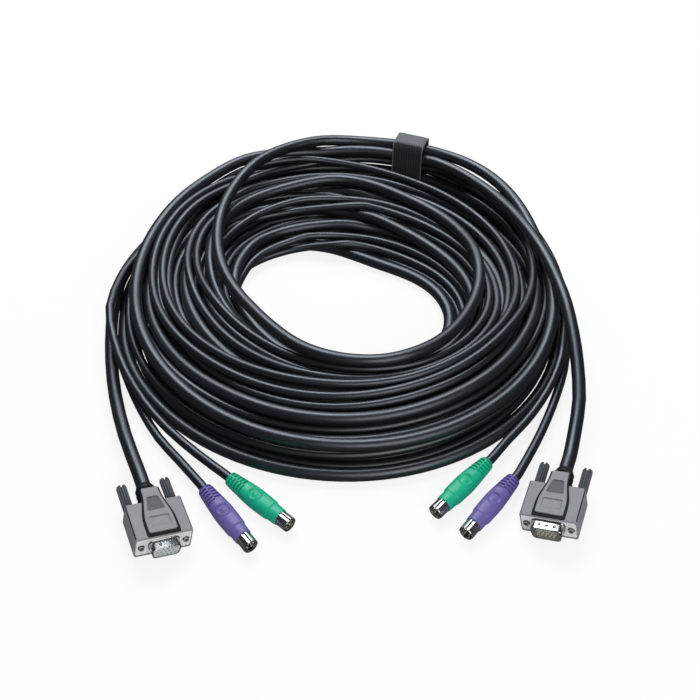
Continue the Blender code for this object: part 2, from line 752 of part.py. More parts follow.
def make_round_insulator(name, parent):
    radius = SKIRT_RADIUS - SKIRT_WALL - CLEARANCE
    insulator = make_rod(name, parent, radius, (-SKIRT_SEAT, 0.0), SKIRT_SIDES, "pin_plastic")
    key_range = (-SKIRT_SEAT / 2, KEY_REACH)
    key = make_box(name + "_key", parent, key_range, KEY_WIDTH, KEY_HEIGHT, z=KEY_RISE)
    join(insulator, key)
    holes = [circle_outline(p, ROUND_PIN_RADIUS + CLEARANCE, ROUND_PIN_SIDES) for p in round_pin_places()]
    hole_range = (-SKIRT_SEAT - OVERSHOOT, OVERSHOOT)
    cut(insulator, make_plate(name + "_holes", parent, holes, hole_range))
    return insulator


def make_round_pins(name, parent):
    """The six pins of a round plug, held by the thin carrier behind the insulator."""
    back = -SKIRT_SEAT - CLEARANCE - ROUND_PIN_PLATE
    radius = SKIRT_RADIUS - SKIRT_WALL - CLEARANCE
    pins = make_rod(name, parent, radius, (back, back + ROUND_PIN_PLATE), ROUND_SIDES, "contact_gold")
    rods = [circle_outline(p, ROUND_PIN_RADIUS, ROUND_PIN_SIDES) for p in round_pin_places()]
    rod_range = (back + ROUND_PIN_PLATE / 2, ROUND_PIN_REACH)
    join(pins, make_plate(name + "_rods", parent, rods, rod_range))
    return pins


def make_round_plug(side, role, root):
    place = ROUND_PLACES[(side, role)]
    location = beside_coil(place["angle"], place["beyond"], PLUG_HALF_HEIGHT)
    turn = (0.0, 0.0, math.radians(place["heading"]))
    parent = make_empty(f"{side}_{role}_place", location, turn, root)
    finish = "keyboard_purple" if role == "keyboard" else "mouse_green"
    make_plug_body(f"{side}_{role}_plug_body", parent, finish)
    make_skirt(f"{side}_{role}_plug_shell", parent)
    make_round_insulator(f"{side}_{role}_plug_insulator", parent)
    make_round_pins(f"{side}_{role}_plug_pins", parent)


def make_coil(root):
    """The coil's outer shape, turned: sloped towards the hole and rounded above."""
    corner = COIL_CORNER_RADIUS
    outer = COIL_OUTER_RADIUS
    top = COIL_HEIGHT
    quarter = math.pi / 2
    profile = arc_points((outer - corner, top - corner), corner, quarter, 0.0, 4)
    profile += arc_points((outer - corner, corner), corner, 0.0, -quarter, 4)
    profile += [(COIL_INNER_RADIUS_FLOOR + corner / 2, 0.0)]
    profile += [(COIL_INNER_RADIUS_FLOOR, corner / 2)]
    profile += [(COIL_INNER_RADIUS_TOP, top - corner)]
    profile += [(COIL_INNER_RADIUS_TOP + corner, top)]
    return make_turned("coil_turns", root, profile, COIL_STEPS, "cord_jacket", along_x=False)


def strap_outline(grow):
    """The strap's middle line as a rounded loop, moved outwards by grow."""
    gap = STRAP_THICKNESS / 2 + CLEARANCE
    inner = COIL_OUTER_RADIUS - STRAP_GRIP - gap - grow
    outer = COIL_OUTER_RADIUS + gap + grow
    low = STRAP_THICKNESS / 2 - grow
    high = COIL_HEIGHT + gap + grow
    return rounded_outline((inner, low), (outer, high), STRAP_CORNER_RADIUS + grow)


def make_strap(root, coil):
    """A band round the outer turns, in a slot that it needs through the coil's shape."""
    half = STRAP_THICKNESS / 2
    turned = make_empty("strap_place", (0.0, 0.0, 0.0), (0.0, 0.0, STRAP_ANGLE), root)

    def make_loop(name, inner_grow, outer_grow, width, finish=None):
        curve = bpy.data.curves.new(name, "CURVE")
        curve.dimensions = "2D"
        curve.fill_mode = "BOTH"
        curve.extrude = width / 2
        add_closed_spline(curve, strap_outline(outer_grow))
        add_closed_spline(curve, strap_outline(inner_grow))
        upright = (math.pi / 2, 0.0, 0.0)
        return curve_to_mesh_piece(curve, name, turned, finish, (0.0, 0.0, 0.0), upright)

    make_loop("tie_strap", -half, half, STRAP_WIDTH, "strap_fabric")
    slot_grow = half + CLEARANCE
    slot = make_loop("strap_slot", -slot_grow, slot_grow, STRAP_WIDTH + 2 * CLEARANCE)
    cut(coil, slot)


def smooth_route(route, spacing):
    """Points at even spacing on a smooth curve through the route's points."""
    knots = [Vector(p) for p in route]
    knots = [2 * knots[0] - knots[1]] + knots + [2 * knots[-1] - knots[-2]]
    fine = []
    for a, b, c, d in zip(knots, knots[1:], knots[2:], knots[3:]):
        for t in np.linspace(0.0, 1.0, 12, endpoint=False):
            pull = (c - a) * t + (2 * a - 5 * b + 4 * c - d) * t**2
            pull += (3 * b - a - 3 * c + d) * t**3
            fine.append(b + pull / 2)
    fine.append(knots[-2])
    steps = [0.0]
    for a, b in zip(fine, fine[1:]):
        steps.append(steps[-1] + (b - a).length)
    count = max(2, round(steps[-1] / spacing))
    wanted = np.linspace(0.0, steps[-1], count + 1)
    columns = [np.interp(wanted, steps, [p[i] for p in fine]) for i in range(3)]
    return list(zip(*columns))


def plug_exit(side, role):
    """Where the cord meets its plug, and the way that it leads out of the plug."""
    if role == "video":
        place, back, height = VIDEO_PLACES[side], relief_back() - CLEARANCE, video_plug_height()
    else:
        place, height = ROUND_PLACES[(side, role)], PLUG_HALF_HEIGHT
        back = -PLUG_LENGTH + PLUG_CORD_BORE_DEPTH - CLEARANCE
    heading = math.radians(place["heading"])
    out = Vector((-math.cos(heading), -math.sin(heading), 0.0))
    return Vector(beside_coil(place["angle"], place["beyond"], height)) - out * back, out


def make_lead(side, role, root):
    node_role = "vga" if role == "video" else role
    name = f"{side}_{node_role}_lead"
    diameter = VIDEO_CORD_DIAMETER if role == "video" else ROUND_CORD_DIAMETER
    end, out = plug_exit(side, role)
    run = STRAIGHT_RUN if role == "video" else STRAIGHT_RUN + PLUG_CORD_BORE_DEPTH
    radius = diameter / 2
    route = [beside_coil(a, radius + gap, radius + lift) for a, gap, lift in LEAD_ROUTES[(side, role)]]
    route += [tuple(end + out * run), tuple(end + out * run / 2), tuple(end)]
    curve = bpy.data.curves.new(name, "CURVE")
    curve.dimensions = "3D"
    curve.bevel_depth = radius
    curve.bevel_resolution = 3 if role == "video" else 2
    curve.use_fill_caps = True
    points = smooth_route(route, 2 * diameter)
    spline = curve.splines.new("POLY")
    spline.points.add(len(points) - 1)
    for point, place in zip(spline.points, points):
        point.co = (*place, 1.0)
    link_piece(curve, name, root, "cord_jacket")


def build():
    root = make_empty("set_place", (COIL_X, COIL_Y, 0.0))
    coil = make_coil(root)
    make_strap(root, coil)
    for side in ("left", "right"):
        make_video_plug(side, root)
        make_lead(side, "video", root)
        for role in ("keyboard", "mouse"):
            make_round_plug(side, role, root)
            make_lead(side, role, root)
    for piece in PARTS.objects:
        if piece.type == "MESH" and len(piece.data.polygons):
            smooth_round(piece.data)


build()
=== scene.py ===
"""Looks of the coiled cord set: cords, plugs, strap, finishes, light and camera."""
import math

import bmesh
import bpy
import numpy as np
from mathutils import Matrix, Vector


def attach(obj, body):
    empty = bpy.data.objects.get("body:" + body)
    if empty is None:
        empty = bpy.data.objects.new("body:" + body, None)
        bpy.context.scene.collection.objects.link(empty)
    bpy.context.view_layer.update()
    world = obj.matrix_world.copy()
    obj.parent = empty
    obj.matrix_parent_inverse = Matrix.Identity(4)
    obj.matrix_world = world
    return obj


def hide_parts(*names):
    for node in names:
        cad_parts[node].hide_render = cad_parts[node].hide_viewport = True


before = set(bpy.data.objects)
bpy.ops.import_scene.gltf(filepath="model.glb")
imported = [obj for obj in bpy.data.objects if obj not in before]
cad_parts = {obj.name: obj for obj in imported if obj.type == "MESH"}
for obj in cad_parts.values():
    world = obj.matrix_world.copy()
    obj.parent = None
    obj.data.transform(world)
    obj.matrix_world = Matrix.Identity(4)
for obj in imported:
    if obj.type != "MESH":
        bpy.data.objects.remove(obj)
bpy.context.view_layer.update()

BODY = "cable_set"
MM = 0.001

# Light: surround for soft fill, what gloss sees, and how far floor shadows are lifted
WHITE = (1.0, 1.0, 1.0, 1.0)
AMBIENT = 0.22
MIRRORED_SURROUND = 0.04
MIRRORED_FLOOR = 0.09
SHADOW_LIFT = 0.8
FLOOR_HALF = 3.0
FLOOR_DROP = 0.0002
FLOOR_GLOW = 1.05

# Middle of the coil, and the sizes that the cords take from the part
COIL_X = 0.0019
COIL_Y = 0.02904
COIL_EDGE = 153.0
RADIUS = {"video": 4.15, "keyboard": 2.8, "mouse": 2.8}
VIDEO_ROLL = math.radians(14.0)
VIDEO_HEIGHT = 10.8508
ROUND_HEIGHT = 5.7

# Plug places: angle round the coil, distance beyond its edge, heading (degrees and mm)
PLACES = {
    ("left", "video"): (-115.17, 70.85, -66.0),
    ("right", "video"): (-58.92, 70.94, -112.0),
    ("left", "keyboard"): (-105.04, 49.74, -52.4),
    ("left", "mouse"): (-100.21, 32.54, -41.6),
    ("right", "mouse"): (-71.25, 30.54, -133.0),
    ("right", "keyboard"): (-68.25, 48.87, -129.8),
}
# How far behind the plug's face the cord ends, and its straight run from there
CORD_ENDS = {"video": (-41.6, 12.0), "keyboard": (-38.3, 9.0), "mouse": (-38.3, 9.0)}

# Lead routes from the coil to the plug: angle, gap to the coil's edge, underside's height
ROUTES = {
    ("left", "video"): [
        (-178.6, 0.5, 3.3), (-170.2, 1.2, 2.3), (-158.2, 4.6, 2.3), (-146.5, 12.3, 3.9),
        (-136.1, 23.2, 5.6),
    ],
    ("left", "keyboard"): [
        (-166.7, 1.2, 13.2), (-157.4, 0.7, 9.7), (-147.9, 2.1, 5.2), (-140.2, 5.0, 2.2),
        (-131.8, 9.9, 1.7), (-124.0, 14.9, 2.4),
    ],
    ("left", "mouse"): [
        (-168.9, 0.3, 23.4), (-159.1, 1.1, 19.7), (-149.7, 1.7, 14.7), (-140.3, 2.2, 9.2),
        (-131.3, 3.3, 5.7), (-121.7, 5.8, 3.4),
    ],
    ("right", "video"): [
        (-12.8, -6.0, 28.9), (-20.8, 2.0, 24.4), (-27.9, 11.1, 19.3), (-35.4, 22.5, 13.8),
        (-42.1, 32.2, 8.9),
    ],
    ("right", "mouse"): [
        (-25.0, 0.6, 12.2), (-31.7, 2.2, 9.2), (-38.9, 3.5, 6.7), (-45.2, 4.7, 4.7),
        (-51.5, 6.5, 3.4),
    ],
    ("right", "keyboard"): [
        (-17.9, 0.7, 6.2), (-25.5, 4.3, 4.2), (-33.4, 7.7, 2.4), (-40.4, 12.3, 1.8),
        (-47.4, 18.7, 2.2),
    ],
}

# Winding: stations round the coil, strands in each layer of the pile from the floor up, and
# each layer's outer radius at the front and at the back
STATION = 6
STATIONS = 360 // STATION
TURNS = 14
LAYERS = [13, 10, 8, 6, 5]
OUTER_EDGE = np.array([(157, 153), (146, 153), (134, 153), (122, 153), (110, 153)], float)
# How far each layer's inner edge steps back from the one below, at the front and at the back
INNER_STEP = (5.0, 17.0)
# Radius of the hole's edge on the floor, by angle
HOLE_EDGE = np.array([
    (0, 77), (20, 56), (38, 42), (56, 36), (91, 39), (119, 57), (138, 75), (154, 80), (170, 76),
    (184, 68), (200, 59), (222, 54), (240, 56), (262, 63), (290, 74), (315, 85), (338, 93),
    (350, 88), (360, 77),
], float)
# Bulge of the pile on the left: how far out, at which angle and how wide
LEFT_BULGE = (7.0, 192.0, 26.0)
EDGE_MARGIN = 4.0
FIRST_HEIGHT = 4.2
LAYER_HEIGHT = 7.2
# Places in the winding order over which a strand climbs to the next layer
CLIMB = 0.8
# Share of a turn in which a strand shifts to its next place, and how far a free one wanders
SHIFT_SHARE = 0.35
WANDER = 1.3
WANDER_PERIODS = (140.0, 230.0, 420.0)
# Degrees over which a cord leaves its left lead and runs up to its right lead
ENTRY = 75.0
EXIT = 150.0
EXIT_HEIGHTS = {"keyboard": (38, 20), "mouse": (38, 28)}
# Clear gap between strands, and how near to a lead's end a station of the coil is kept
AIR = 0.5
LEAD_MARGIN = 4.0

# Strap: angle round the coil, its inner side and the limit for strands inside it, the room
# for strands, and its own sizes
STRAP_ANGLE = 68.9
STRAP_INNER = (138.0, 139.9)
STRAP_ROOM = 53.0
STRAP_TOP = 47.5
STRAP_OUTER = 156.4
STRAP_WIDTH = 24.0
STRAP_THICKNESS = 1.5
STRAP_RIBS = 12
RIB_DEPTH = 0.22
HEM_FROM = 0.9
# Room in the strap that a thin strand counts for, and the radius that parts thin from thick
THIN_ROOM = 2.9
THICK_FROM = 3.0
# Where strands meet at the strap, how hard, and how far along them that reaches on each side
STRAP_MIDDLE = 147.0
STRAP_PULL = 0.2
STRAP_SPREAD = 36.0
STRAP_SPREAD_RIGHT = 62.0
STRAP_REACH = (12, 22)
INSIDE_SHRINK = 0.12
# Strands lower than this keep their place beside the strap, in mm
FLOOR_LAYER = 8.0

# Pull of a strand towards its place: free, as a top turn, in height, the least that counts as
# guided, and where a top turn may slip
FREE_PULL = 0.08
TOP_PULL = 0.5
LIFT_PULL = 0.3
GUIDED_FROM = 0.3
SLIP_PULL = 0.15
SLIP_SPAN = (765, 980)
# Settling: rounds, when the strap closes, pull and weight early and late, the cords' stiffness
# and the share of an overlap that one push clears
ROUNDS = 260
STRAP_CLOSES = 0.35
EARLY_PULL = 0.6
LATE_PULL = 0.3
EARLY_WEIGHT = 0.10
LATE_WEIGHT = 0.04
STIFFNESS = 0.3
PUSH = 0.9
SEED = 3

# The video cord's last turns lie on top of the pile: angle along them, radius and height.
# The first crosses the hole's edge, the second goes under the third on the right.
TOP_TURNS = [
    (264, 117, 52), (280, 110, 52), (295.5, 101, 52), (315, 98.5, 52), (331, 97, 52), (346, 96, 52),
    (361, 94.4, 52), (374, 92, 52), (391, 90.5, 52), (406, 92, 52), (428, 92.5, 52), (444, 86, 52),
    (461, 79.5, 52), (469, 75.5, 52), (488, 67.5, 52), (510, 66.5, 52), (530.5, 73.5, 52),
    (546, 82.5, 52), (562.6, 93.7, 52), (577.7, 107.8, 52), (591.6, 121.5, 48),
    (604.5, 136, 43.5), (611, 141, 42.5),
    (617, 145.5, 41), (623, 149, 38.5), (630, 152, 36.5), (645, 152, 36.5), (656, 154, 37),
    (665, 156.5, 38), (676, 153.7, 38), (685, 149, 37.5), (694, 145, 35.5), (703, 141.5, 31.5),
    (710, 140.5, 28), (717, 142, 26), (735, 145, 22), (760, 145, 18), (810, 138, 30),
    (870, 137, 38), (900, 139, 37), (940, 145, 32), (950, 148, 33), (960, 150.5, 35), (970, 148, 33.5),
    (983, 144.5, 32.5), (995, 143, 34), (1011, 143.5, 35), (1020, 144.5, 36), (1027, 142.5, 36),
    (1036, 139.5, 36),
    (1046, 137, 36.5), (1052, 135.5, 37), (1061, 134, 38), (1068, 135, 38.5), (1075, 137.5, 38),
    (1084, 142.5, 36), (1088.5, 146.5, 34.5),
]
TOP_TURNS_BEFORE = 3
# Stretches of them that also keep their height, and where they reach the strap
LIFTED = [(596, 765), (935, 1093)]
TOP_AT_STRAP = 600


def from_polar(angle, radius, height):
    """World point in metres from an angle round the coil in degrees, and mm."""
    turn = math.radians(angle)
    x = COIL_X + radius * MM * math.cos(turn)
    y = COIL_Y + radius * MM * math.sin(turn)
    return Vector((x, y, height * MM))


def plug_matrix(side, role):
    """World matrix of a plug: X is the way that it mates, the origin is its face."""
    angle, beyond, heading = PLACES[(side, role)]
    height = VIDEO_HEIGHT if role == "video" else ROUND_HEIGHT
    place = Matrix.Translation(from_polar(angle, COIL_EDGE + beyond, height))
    turn = Matrix.Rotation(math.radians(heading), 4, "Z")
    roll = 0.0
    if role == "video":
        roll = -VIDEO_ROLL if side == "left" else VIDEO_ROLL
    return place @ turn @ Matrix.Rotation(roll, 4, "X")


def lead_points(side, role):
    """Points of a lead from the coil to its plug, as the part lays it."""
    radius = RADIUS[role]
    route = ROUTES[(side, role)]
    points = [from_polar(a, COIL_EDGE + radius + gap, radius + lift) for a, gap, lift in route]
    back, run = CORD_ENDS[role]
    angle, beyond, heading = PLACES[(side, role)]
    height = VIDEO_HEIGHT if role == "video" else ROUND_HEIGHT
    face = from_polar(angle, COIL_EDGE + beyond, height)
    out = Vector((-math.cos(math.radians(heading)), -math.sin(math.radians(heading)), 0.0))
    end = face - out * back * MM
    return points + [end + out * run * MM, end + out * run / 2 * MM, end]


def smooth_line(knots, per_span):
    """Points on a smooth curve through the knots."""
    knots = [Vector(p) for p in knots]
    knots = [2 * knots[0] - knots[1]] + knots + [2 * knots[-1] - knots[-2]]
    fine = []
    for a, b, c, d in zip(knots, knots[1:], knots[2:], knots[3:]):
        for i in range(per_span):
            t = i / per_span
            pull = (c - a) * t + (2 * a - 5 * b + 4 * c - d) * t**2 + (3 * b - a - 3 * c + d) * t**3
            fine.append(b + pull / 2)
    fine.append(knots[-2])
    return fine


def layer_place(order, angle):
    """Radius and height of a strand from its place in the winding order, at an angle."""
    edges = np.cumsum([0] + LAYERS)
    order = np.clip(order, 0, edges[-1] - 0.001)
    layer = np.clip(np.searchsorted(edges, order, side="right") - 1, 0, len(LAYERS) - 1)
    share = (order - edges[layer]) / np.array(LAYERS)[layer]
    outwards = np.where(layer % 2 == 0, 1 - share, share)
    height = np.sin(np.radians(angle))
    inner_blend = smooth_step((height + 0.3) / 1.3)
    outer_blend = 0.5 + 0.5 * height
    step = INNER_STEP[0] * (1 - inner_blend) + INNER_STEP[1] * inner_blend
    low = np.interp(angle % 360, HOLE_EDGE[:, 0], HOLE_EDGE[:, 1]) + layer * step
    bulge = LEFT_BULGE[0] * np.exp(-(((angle % 360) - LEFT_BULGE[1]) / LEFT_BULGE[2]) ** 2)
    high = OUTER_EDGE[layer, 0] * (1 - outer_blend) + OUTER_EDGE[layer, 1] * outer_blend
    high = high - EDGE_MARGIN + bulge
    up = np.clip((order - edges[layer + 1] + CLIMB) / (2 * CLIMB), 0, 0.5)
    up = np.where(layer < len(LAYERS) - 1, up, 0)
    down = np.where(layer > 0, np.clip((edges[layer] + CLIMB - order) / (2 * CLIMB), 0, 0.5), 0)
    return low + (high - low) * outwards, FIRST_HEIGHT + LAYER_HEIGHT * (layer + up - down)


def smooth_step(x):
    """Goes from 0 to 1 with a soft start and end."""
    x = np.clip(x, 0, 1)
    return x * x * (3 - 2 * x)


def strand_targets(role, place_in_bundle, random):
    """Where each station of a cord wants to lie, and how hard; angles grow along the cord."""
    radius = RADIUS[role]
    start, stop = (
        np.array([(-a, COIL_EDGE + radius + g, radius + h) for a, g, h in ROUTES[(side, role)]])
        for side in ("left", "right")
    )
    start = start[::-1]
    stop[:, 0] += 360 * TURNS
    first = math.ceil(start[0, 0] / STATION)
    last = math.floor(stop[-1, 0] / STATION)
    station = np.arange(first, last + 1)
    along = station * float(STATION)
    turn = np.floor((along - 180) / 360)
    shift = smooth_step(((along - 180) / 360 - turn) / SHIFT_SHARE)
    order = 3 * np.maximum(0, turn - 1 + shift) + place_in_bundle + 0.5
    r, z = layer_place(order, -along)
    for period in WANDER_PERIODS:
        size = WANDER * random.uniform(0.5, 1.0)
        r += size * np.sin(2 * math.pi * (along / period + random.random()))
    pull_r = np.full(len(along), FREE_PULL)
    pull_z = np.zeros(len(along))
    begun = along <= start[-1, 0]
    ended = along >= stop[0, 0]
    entering = ~begun & (along < start[-1, 0] + ENTRY)
    settle = smooth_step((along[entering] - start[-1, 0]) / ENTRY)
    r[entering] = start[-1, 1] * (1 - settle) + r[entering] * settle
    z[entering] = start[-1, 2] * (1 - settle) + z[entering] * settle
    pull_z[entering] = 0.1 * (1 - settle)
    if role == "video":
        top = np.array(TOP_TURNS, float)
        begin = 360 * (TURNS - TOP_TURNS_BEFORE)
        top[:, 0] += begin
        across = (along >= top[0, 0]) & ~ended
        r[across] = np.interp(along[across], top[:, 0], top[:, 1])
        z[across] = np.interp(along[across], top[:, 0], top[:, 2])
        pull_r[across] = TOP_PULL
        pull_r[(along > begin + SLIP_SPAN[0]) & (along < begin + SLIP_SPAN[1])] = SLIP_PULL
        for low, high in LIFTED:
            pull_z[(along > begin + low) & (along < begin + high) & ~ended] = LIFT_PULL
    else:
        leaving = (along > stop[0, 0] - EXIT) & ~ended
        share = (along[leaving] - stop[0, 0] + EXIT) / EXIT
        blend = np.clip(2 * share, 0, 1)
        r[leaving] = r[leaving] * (1 - blend) + (stop[0, 1] - 3) * blend
        z[leaving] = np.interp(share, [0, 0.6, 1], [*EXIT_HEIGHTS[role], stop[0, 2]])
        pull_z[leaving] = 0.05 * blend
        pull_r[leaving] += SLIP_PULL * blend
    for done, lead in ((begun, start), (ended, stop)):
        r[done] = np.interp(along[done], lead[:, 0], lead[:, 1])
        z[done] = np.interp(along[done], lead[:, 0], lead[:, 2])
    return along, station % STATIONS, np.stack([r, z], 1), pull_r, pull_z, begun | ended


def wind_cords():
    """Lays all three cords as discs in the coil's cross-sections and lets them settle."""
    random = np.random.default_rng(SEED)
    parts = [strand_targets(role, i, random) for i, role in enumerate(RADIUS)]
    sizes = [len(p[0]) for p in parts]
    rows = [np.concatenate([part[i] for part in parts]) for i in range(6)]
    along, station, target, pull_r, pull_z, fixed = rows
    radius = np.concatenate([np.full(n, RADIUS[role]) for n, role in zip(sizes, RADIUS)])
    ends = np.cumsum(sizes)
    index = np.arange(len(along))
    before = np.where(np.isin(index, ends - sizes), index, index - 1)
    after = np.where(np.isin(index, ends - 1), index, index + 1)
    groups = [np.where(station == k)[0] for k in range(STATIONS)]
    width = max(len(g) for g in groups)
    table = np.full((STATIONS, width), -1)
    for k, group in enumerate(groups):
        table[k, : len(group)] = group
    real = table >= 0
    table = np.where(real, table, 0)
    pairs = real[:, :, None] & real[:, None, :] & ~np.eye(width, dtype=bool)
    reach = radius[table][:, :, None] + radius[table][:, None, :] + AIR
    share = np.where(fixed[table][:, None, :], 1.0, 0.5)
    free = ~fixed
    place = target.copy()
    strap_stations = [(360 - a) // STATION for a in (72, 66)]
    held = None
    for step in range(ROUNDS):
        late = step / ROUNDS
        if held is None and late > STRAP_CLOSES:
            held = choose_held(place, radius, groups[strap_stations[0]], along)
            part_at_strap(target, place, pull_r, held, along)
        pull = EARLY_PULL if late < 0.7 else LATE_PULL
        place[free, 0] += (pull * pull_r * (target[:, 0] - place[:, 0]))[free]
        place[free, 1] += (pull_z * (target[:, 1] - place[:, 1]))[free]
        place[free, 1] -= EARLY_WEIGHT if late < 0.8 else LATE_WEIGHT
        for _ in range(2):
            place[free] += (STIFFNESS * ((place[before] + place[after]) / 2 - place))[free]
        for _ in range(4):
            at = place[table]
            apart = at[:, :, None, :] - at[:, None, :, :]
            distance = np.sqrt((apart**2).sum(-1)) + 1e-9
            overlap = np.clip(np.where(pairs, reach - distance, 0), 0, 4)
            push = ((overlap * share / distance)[..., None] * apart).sum(2)
            touching = np.maximum(1, (overlap > 0).sum(2) / 2)
            moved = place.copy()
            moved[table[real]] = (at + PUSH * push / touching[..., None])[real]
            place[free] = moved[free]
            place[free, 1] = np.maximum(place[free, 1], radius[free] + 0.05)
            if held is not None:
                for k in strap_stations:
                    keep_in_strap(place, radius, groups[k], held)
    cords = {}
    for role, end, size in zip(RADIUS, ends, sizes):
        part = slice(end - size, end)
        cords[role] = (along[part], place[part], fixed[part])
    return cords


def choose_held(place, radius, group, along):
    """The outermost strands pass through the strap, as many as it has room for."""
    held = np.zeros(len(place), bool)
    room = STRAP_ROOM
    top_from = 360 * (TURNS - TOP_TURNS_BEFORE) + TOP_AT_STRAP
    thick = [i for i in group if radius[i] > THICK_FROM and along[i] > top_from]
    others = [i for i in group if i not in thick]
    for i in thick + sorted(others, key=lambda i: -place[i, 0]):
        need = 2 * radius[i] if radius[i] > THICK_FROM else THIN_ROOM
        if room < need:
            continue
        room -= need
        held[i] = True
        for j in (i - 1, i + 1):
            held[j] |= abs(along[j] - along[i]) < STATION + 1
        if i not in thick and place[i, 0] < STRAP_INNER[1] - radius[i]:
            break
    return held


def part_at_strap(target, place, pull_r, held, along):
    """The held strands draw together towards the strap, and the rest keep off it."""
    guided = pull_r > GUIDED_FROM
    gathered = np.zeros(len(along))
    for i in np.where(held)[0]:
        near = np.arange(max(0, i - STRAP_REACH[0]), min(len(along), i + STRAP_REACH[1]))
        ahead = along[near] - along[i]
        close = abs(ahead) < (STRAP_REACH[1] + 1) * STATION
        spread = np.where(ahead < 0, STRAP_SPREAD, STRAP_SPREAD_RIGHT)[close]
        drawn = np.exp(-((ahead[close] / spread) ** 2))
        gathered[near[close]] = np.maximum(gathered[near[close]], drawn)
    gathered[guided] = 0
    target[:, 0] += gathered * (STRAP_MIDDLE - target[:, 0])
    pull_r += STRAP_PULL * gathered
    turn = (-along - STRAP_ANGLE + 180) % 360 - 180
    aside = np.exp(-((turn / STRAP_SPREAD) ** 2)) * (1 - np.clip(2 * gathered, 0, 1)) * ~guided
    aside *= np.clip((place[:, 1] - FLOOR_LAYER) / FLOOR_LAYER, 0, 1)
    target[:, 0] -= INSIDE_SHRINK * aside * (target[:, 0] - HOLE_EDGE[:, 1].min())


def keep_in_strap(place, radius, group, held):
    """Held strands stay inside the strap's section, and the rest stay nearer to the hole."""
    inside, outside = group[held[group]], group[~held[group]]
    low, high = STRAP_INNER[1] + radius[inside], STRAP_OUTER - 1.7 - radius[inside]
    place[inside, 0] = np.clip(place[inside, 0], low, high)
    low, high = 1.8 + radius[inside], STRAP_TOP - 1.6 - radius[inside]
    place[inside, 1] = np.clip(place[inside, 1], low, high)
    place[outside, 0] = np.minimum(place[outside, 0], STRAP_INNER[0] - radius[outside])


def make_cord(role, winding):
    """One jacket from the left plug through the coil to the right plug, and its left end."""
    along, place, fixed = winding
    left = lead_points("left", role)[::-1]
    right = lead_points("right", role)
    free = along[~fixed]
    kept = ~fixed & (along > free[0] + LEAD_MARGIN) & (along < free[-1] - LEAD_MARGIN)
    coil = [from_polar(-a, r, z) for a, (r, z) in zip(along[kept], place[kept])]
    knots = left + coil + right
    curve = bpy.data.curves.new(f"{role}_cord", "CURVE")
    curve.dimensions = "3D"
    curve.bevel_depth = RADIUS[role] * MM
    curve.bevel_resolution = 5
    curve.use_fill_caps = True
    points = smooth_line(knots, 2)
    spline = curve.splines.new("POLY")
    spline.points.add(len(points) - 1)
    for point, p in zip(spline.points, points):
        point.co = (*p, 1.0)
    spline.use_smooth = True
    cord = bpy.data.objects.new(f"{role}_cord", curve)
    bpy.context.collection.objects.link(cord)
    curve.materials.append(FINISHES["cord_jacket"])
    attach(cord, BODY)
    node = "vga" if role == "video" else role
    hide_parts("coil_turns", f"left_{node}_lead", f"right_{node}_lead")
    length = sum((b - a).length for a, b in zip(points, points[1:]))
    print(f"{role} cord measures {length:.3f} m")
    return cord, left[0]


def adder(tree):
    """A function that adds a node to the tree, with its inputs linked or set."""

    def add(kind, inputs=None, **settings):
        node = tree.nodes.new(kind)
        for key, value in settings.items():
            setattr(node, key, value)
        for key, value in (inputs or {}).items():
            if isinstance(value, bpy.types.NodeSocket):
                tree.links.new(value, node.inputs[key])
            else:
                node.inputs[key].default_value = value
        return node

    return add


def nodes_of(name):
    """A new node material, with its tree, its shader and a way to add nodes."""
    material = bpy.data.materials.new(name)
    material.use_nodes = True
    tree = material.node_tree
    return material, tree, tree.nodes["Principled BSDF"], adder(tree)


def make_finish(name, colour, roughness, metallic=0.0, mottle=0.10, mottle_scale=90.0, grain=0.0,
                grain_scale=2500.0, speckle=0.0, speckle_scale=1800.0, spread=0.06, specular=0.5,
                tint=(1.0, 1.0, 1.0), ior=1.5):
    """Moulded or rolled surface: uneven colour, fine grain and worn roughness."""
    material, tree, shader, add = nodes_of(name)
    where = add("ShaderNodeTexCoord").outputs["Object"]
    broad = add("ShaderNodeTexNoise", {"Vector": where, "Scale": mottle_scale, "Detail": 4.0})
    fine = add("ShaderNodeTexNoise", {"Vector": where, "Scale": speckle_scale, "Detail": 2.0})
    dark = [c * (1 - mottle) for c in colour] + [1.0]
    light = [min(1.0, c * (1 + mottle)) for c in colour] + [1.0]
    tone = add("ShaderNodeMix", {"Factor": broad.outputs["Fac"]}, data_type="RGBA")
    for socket, value in (("A", dark), ("B", light)):
        [i for i in tone.inputs if i.name == socket and i.type == "RGBA"][0].default_value = value
    tone_out = [o for o in tone.outputs if o.type == "RGBA"][0]
    ramp = add("ShaderNodeMapRange", {
        "Value": fine.outputs["Fac"], "From Min": 0.3, "From Max": 0.7,
        "To Min": 1 - speckle, "To Max": 1 + speckle,
    })
    scale = ramp.outputs["Result"]
    scaled = add("ShaderNodeVectorMath", {0: tone_out, "Scale": scale}, operation="SCALE")
    tree.links.new(scaled.outputs["Vector"], shader.inputs["Base Color"])
    rough = add("ShaderNodeMapRange", {
        "Value": broad.outputs["Fac"], "From Min": 0.25, "From Max": 0.75,
        "To Min": max(0.05, roughness - spread), "To Max": min(1.0, roughness + spread),
    })
    tree.links.new(rough.outputs["Result"], shader.inputs["Roughness"])
    if grain:
        texture = add("ShaderNodeTexNoise", {"Vector": where, "Scale": grain_scale, "Detail": 3.0})
        height = texture.outputs["Fac"]
        bump = add("ShaderNodeBump", {"Height": height, "Strength": 1.0, "Distance": grain * MM})
        tree.links.new(bump.outputs["Normal"], shader.inputs["Normal"])
    shader.inputs["Metallic"].default_value = metallic
    shader.inputs["Specular IOR Level"].default_value = specular
    shader.inputs["Specular Tint"].default_value = (*tint, 1.0)
    shader.inputs["IOR"].default_value = ior
    return material


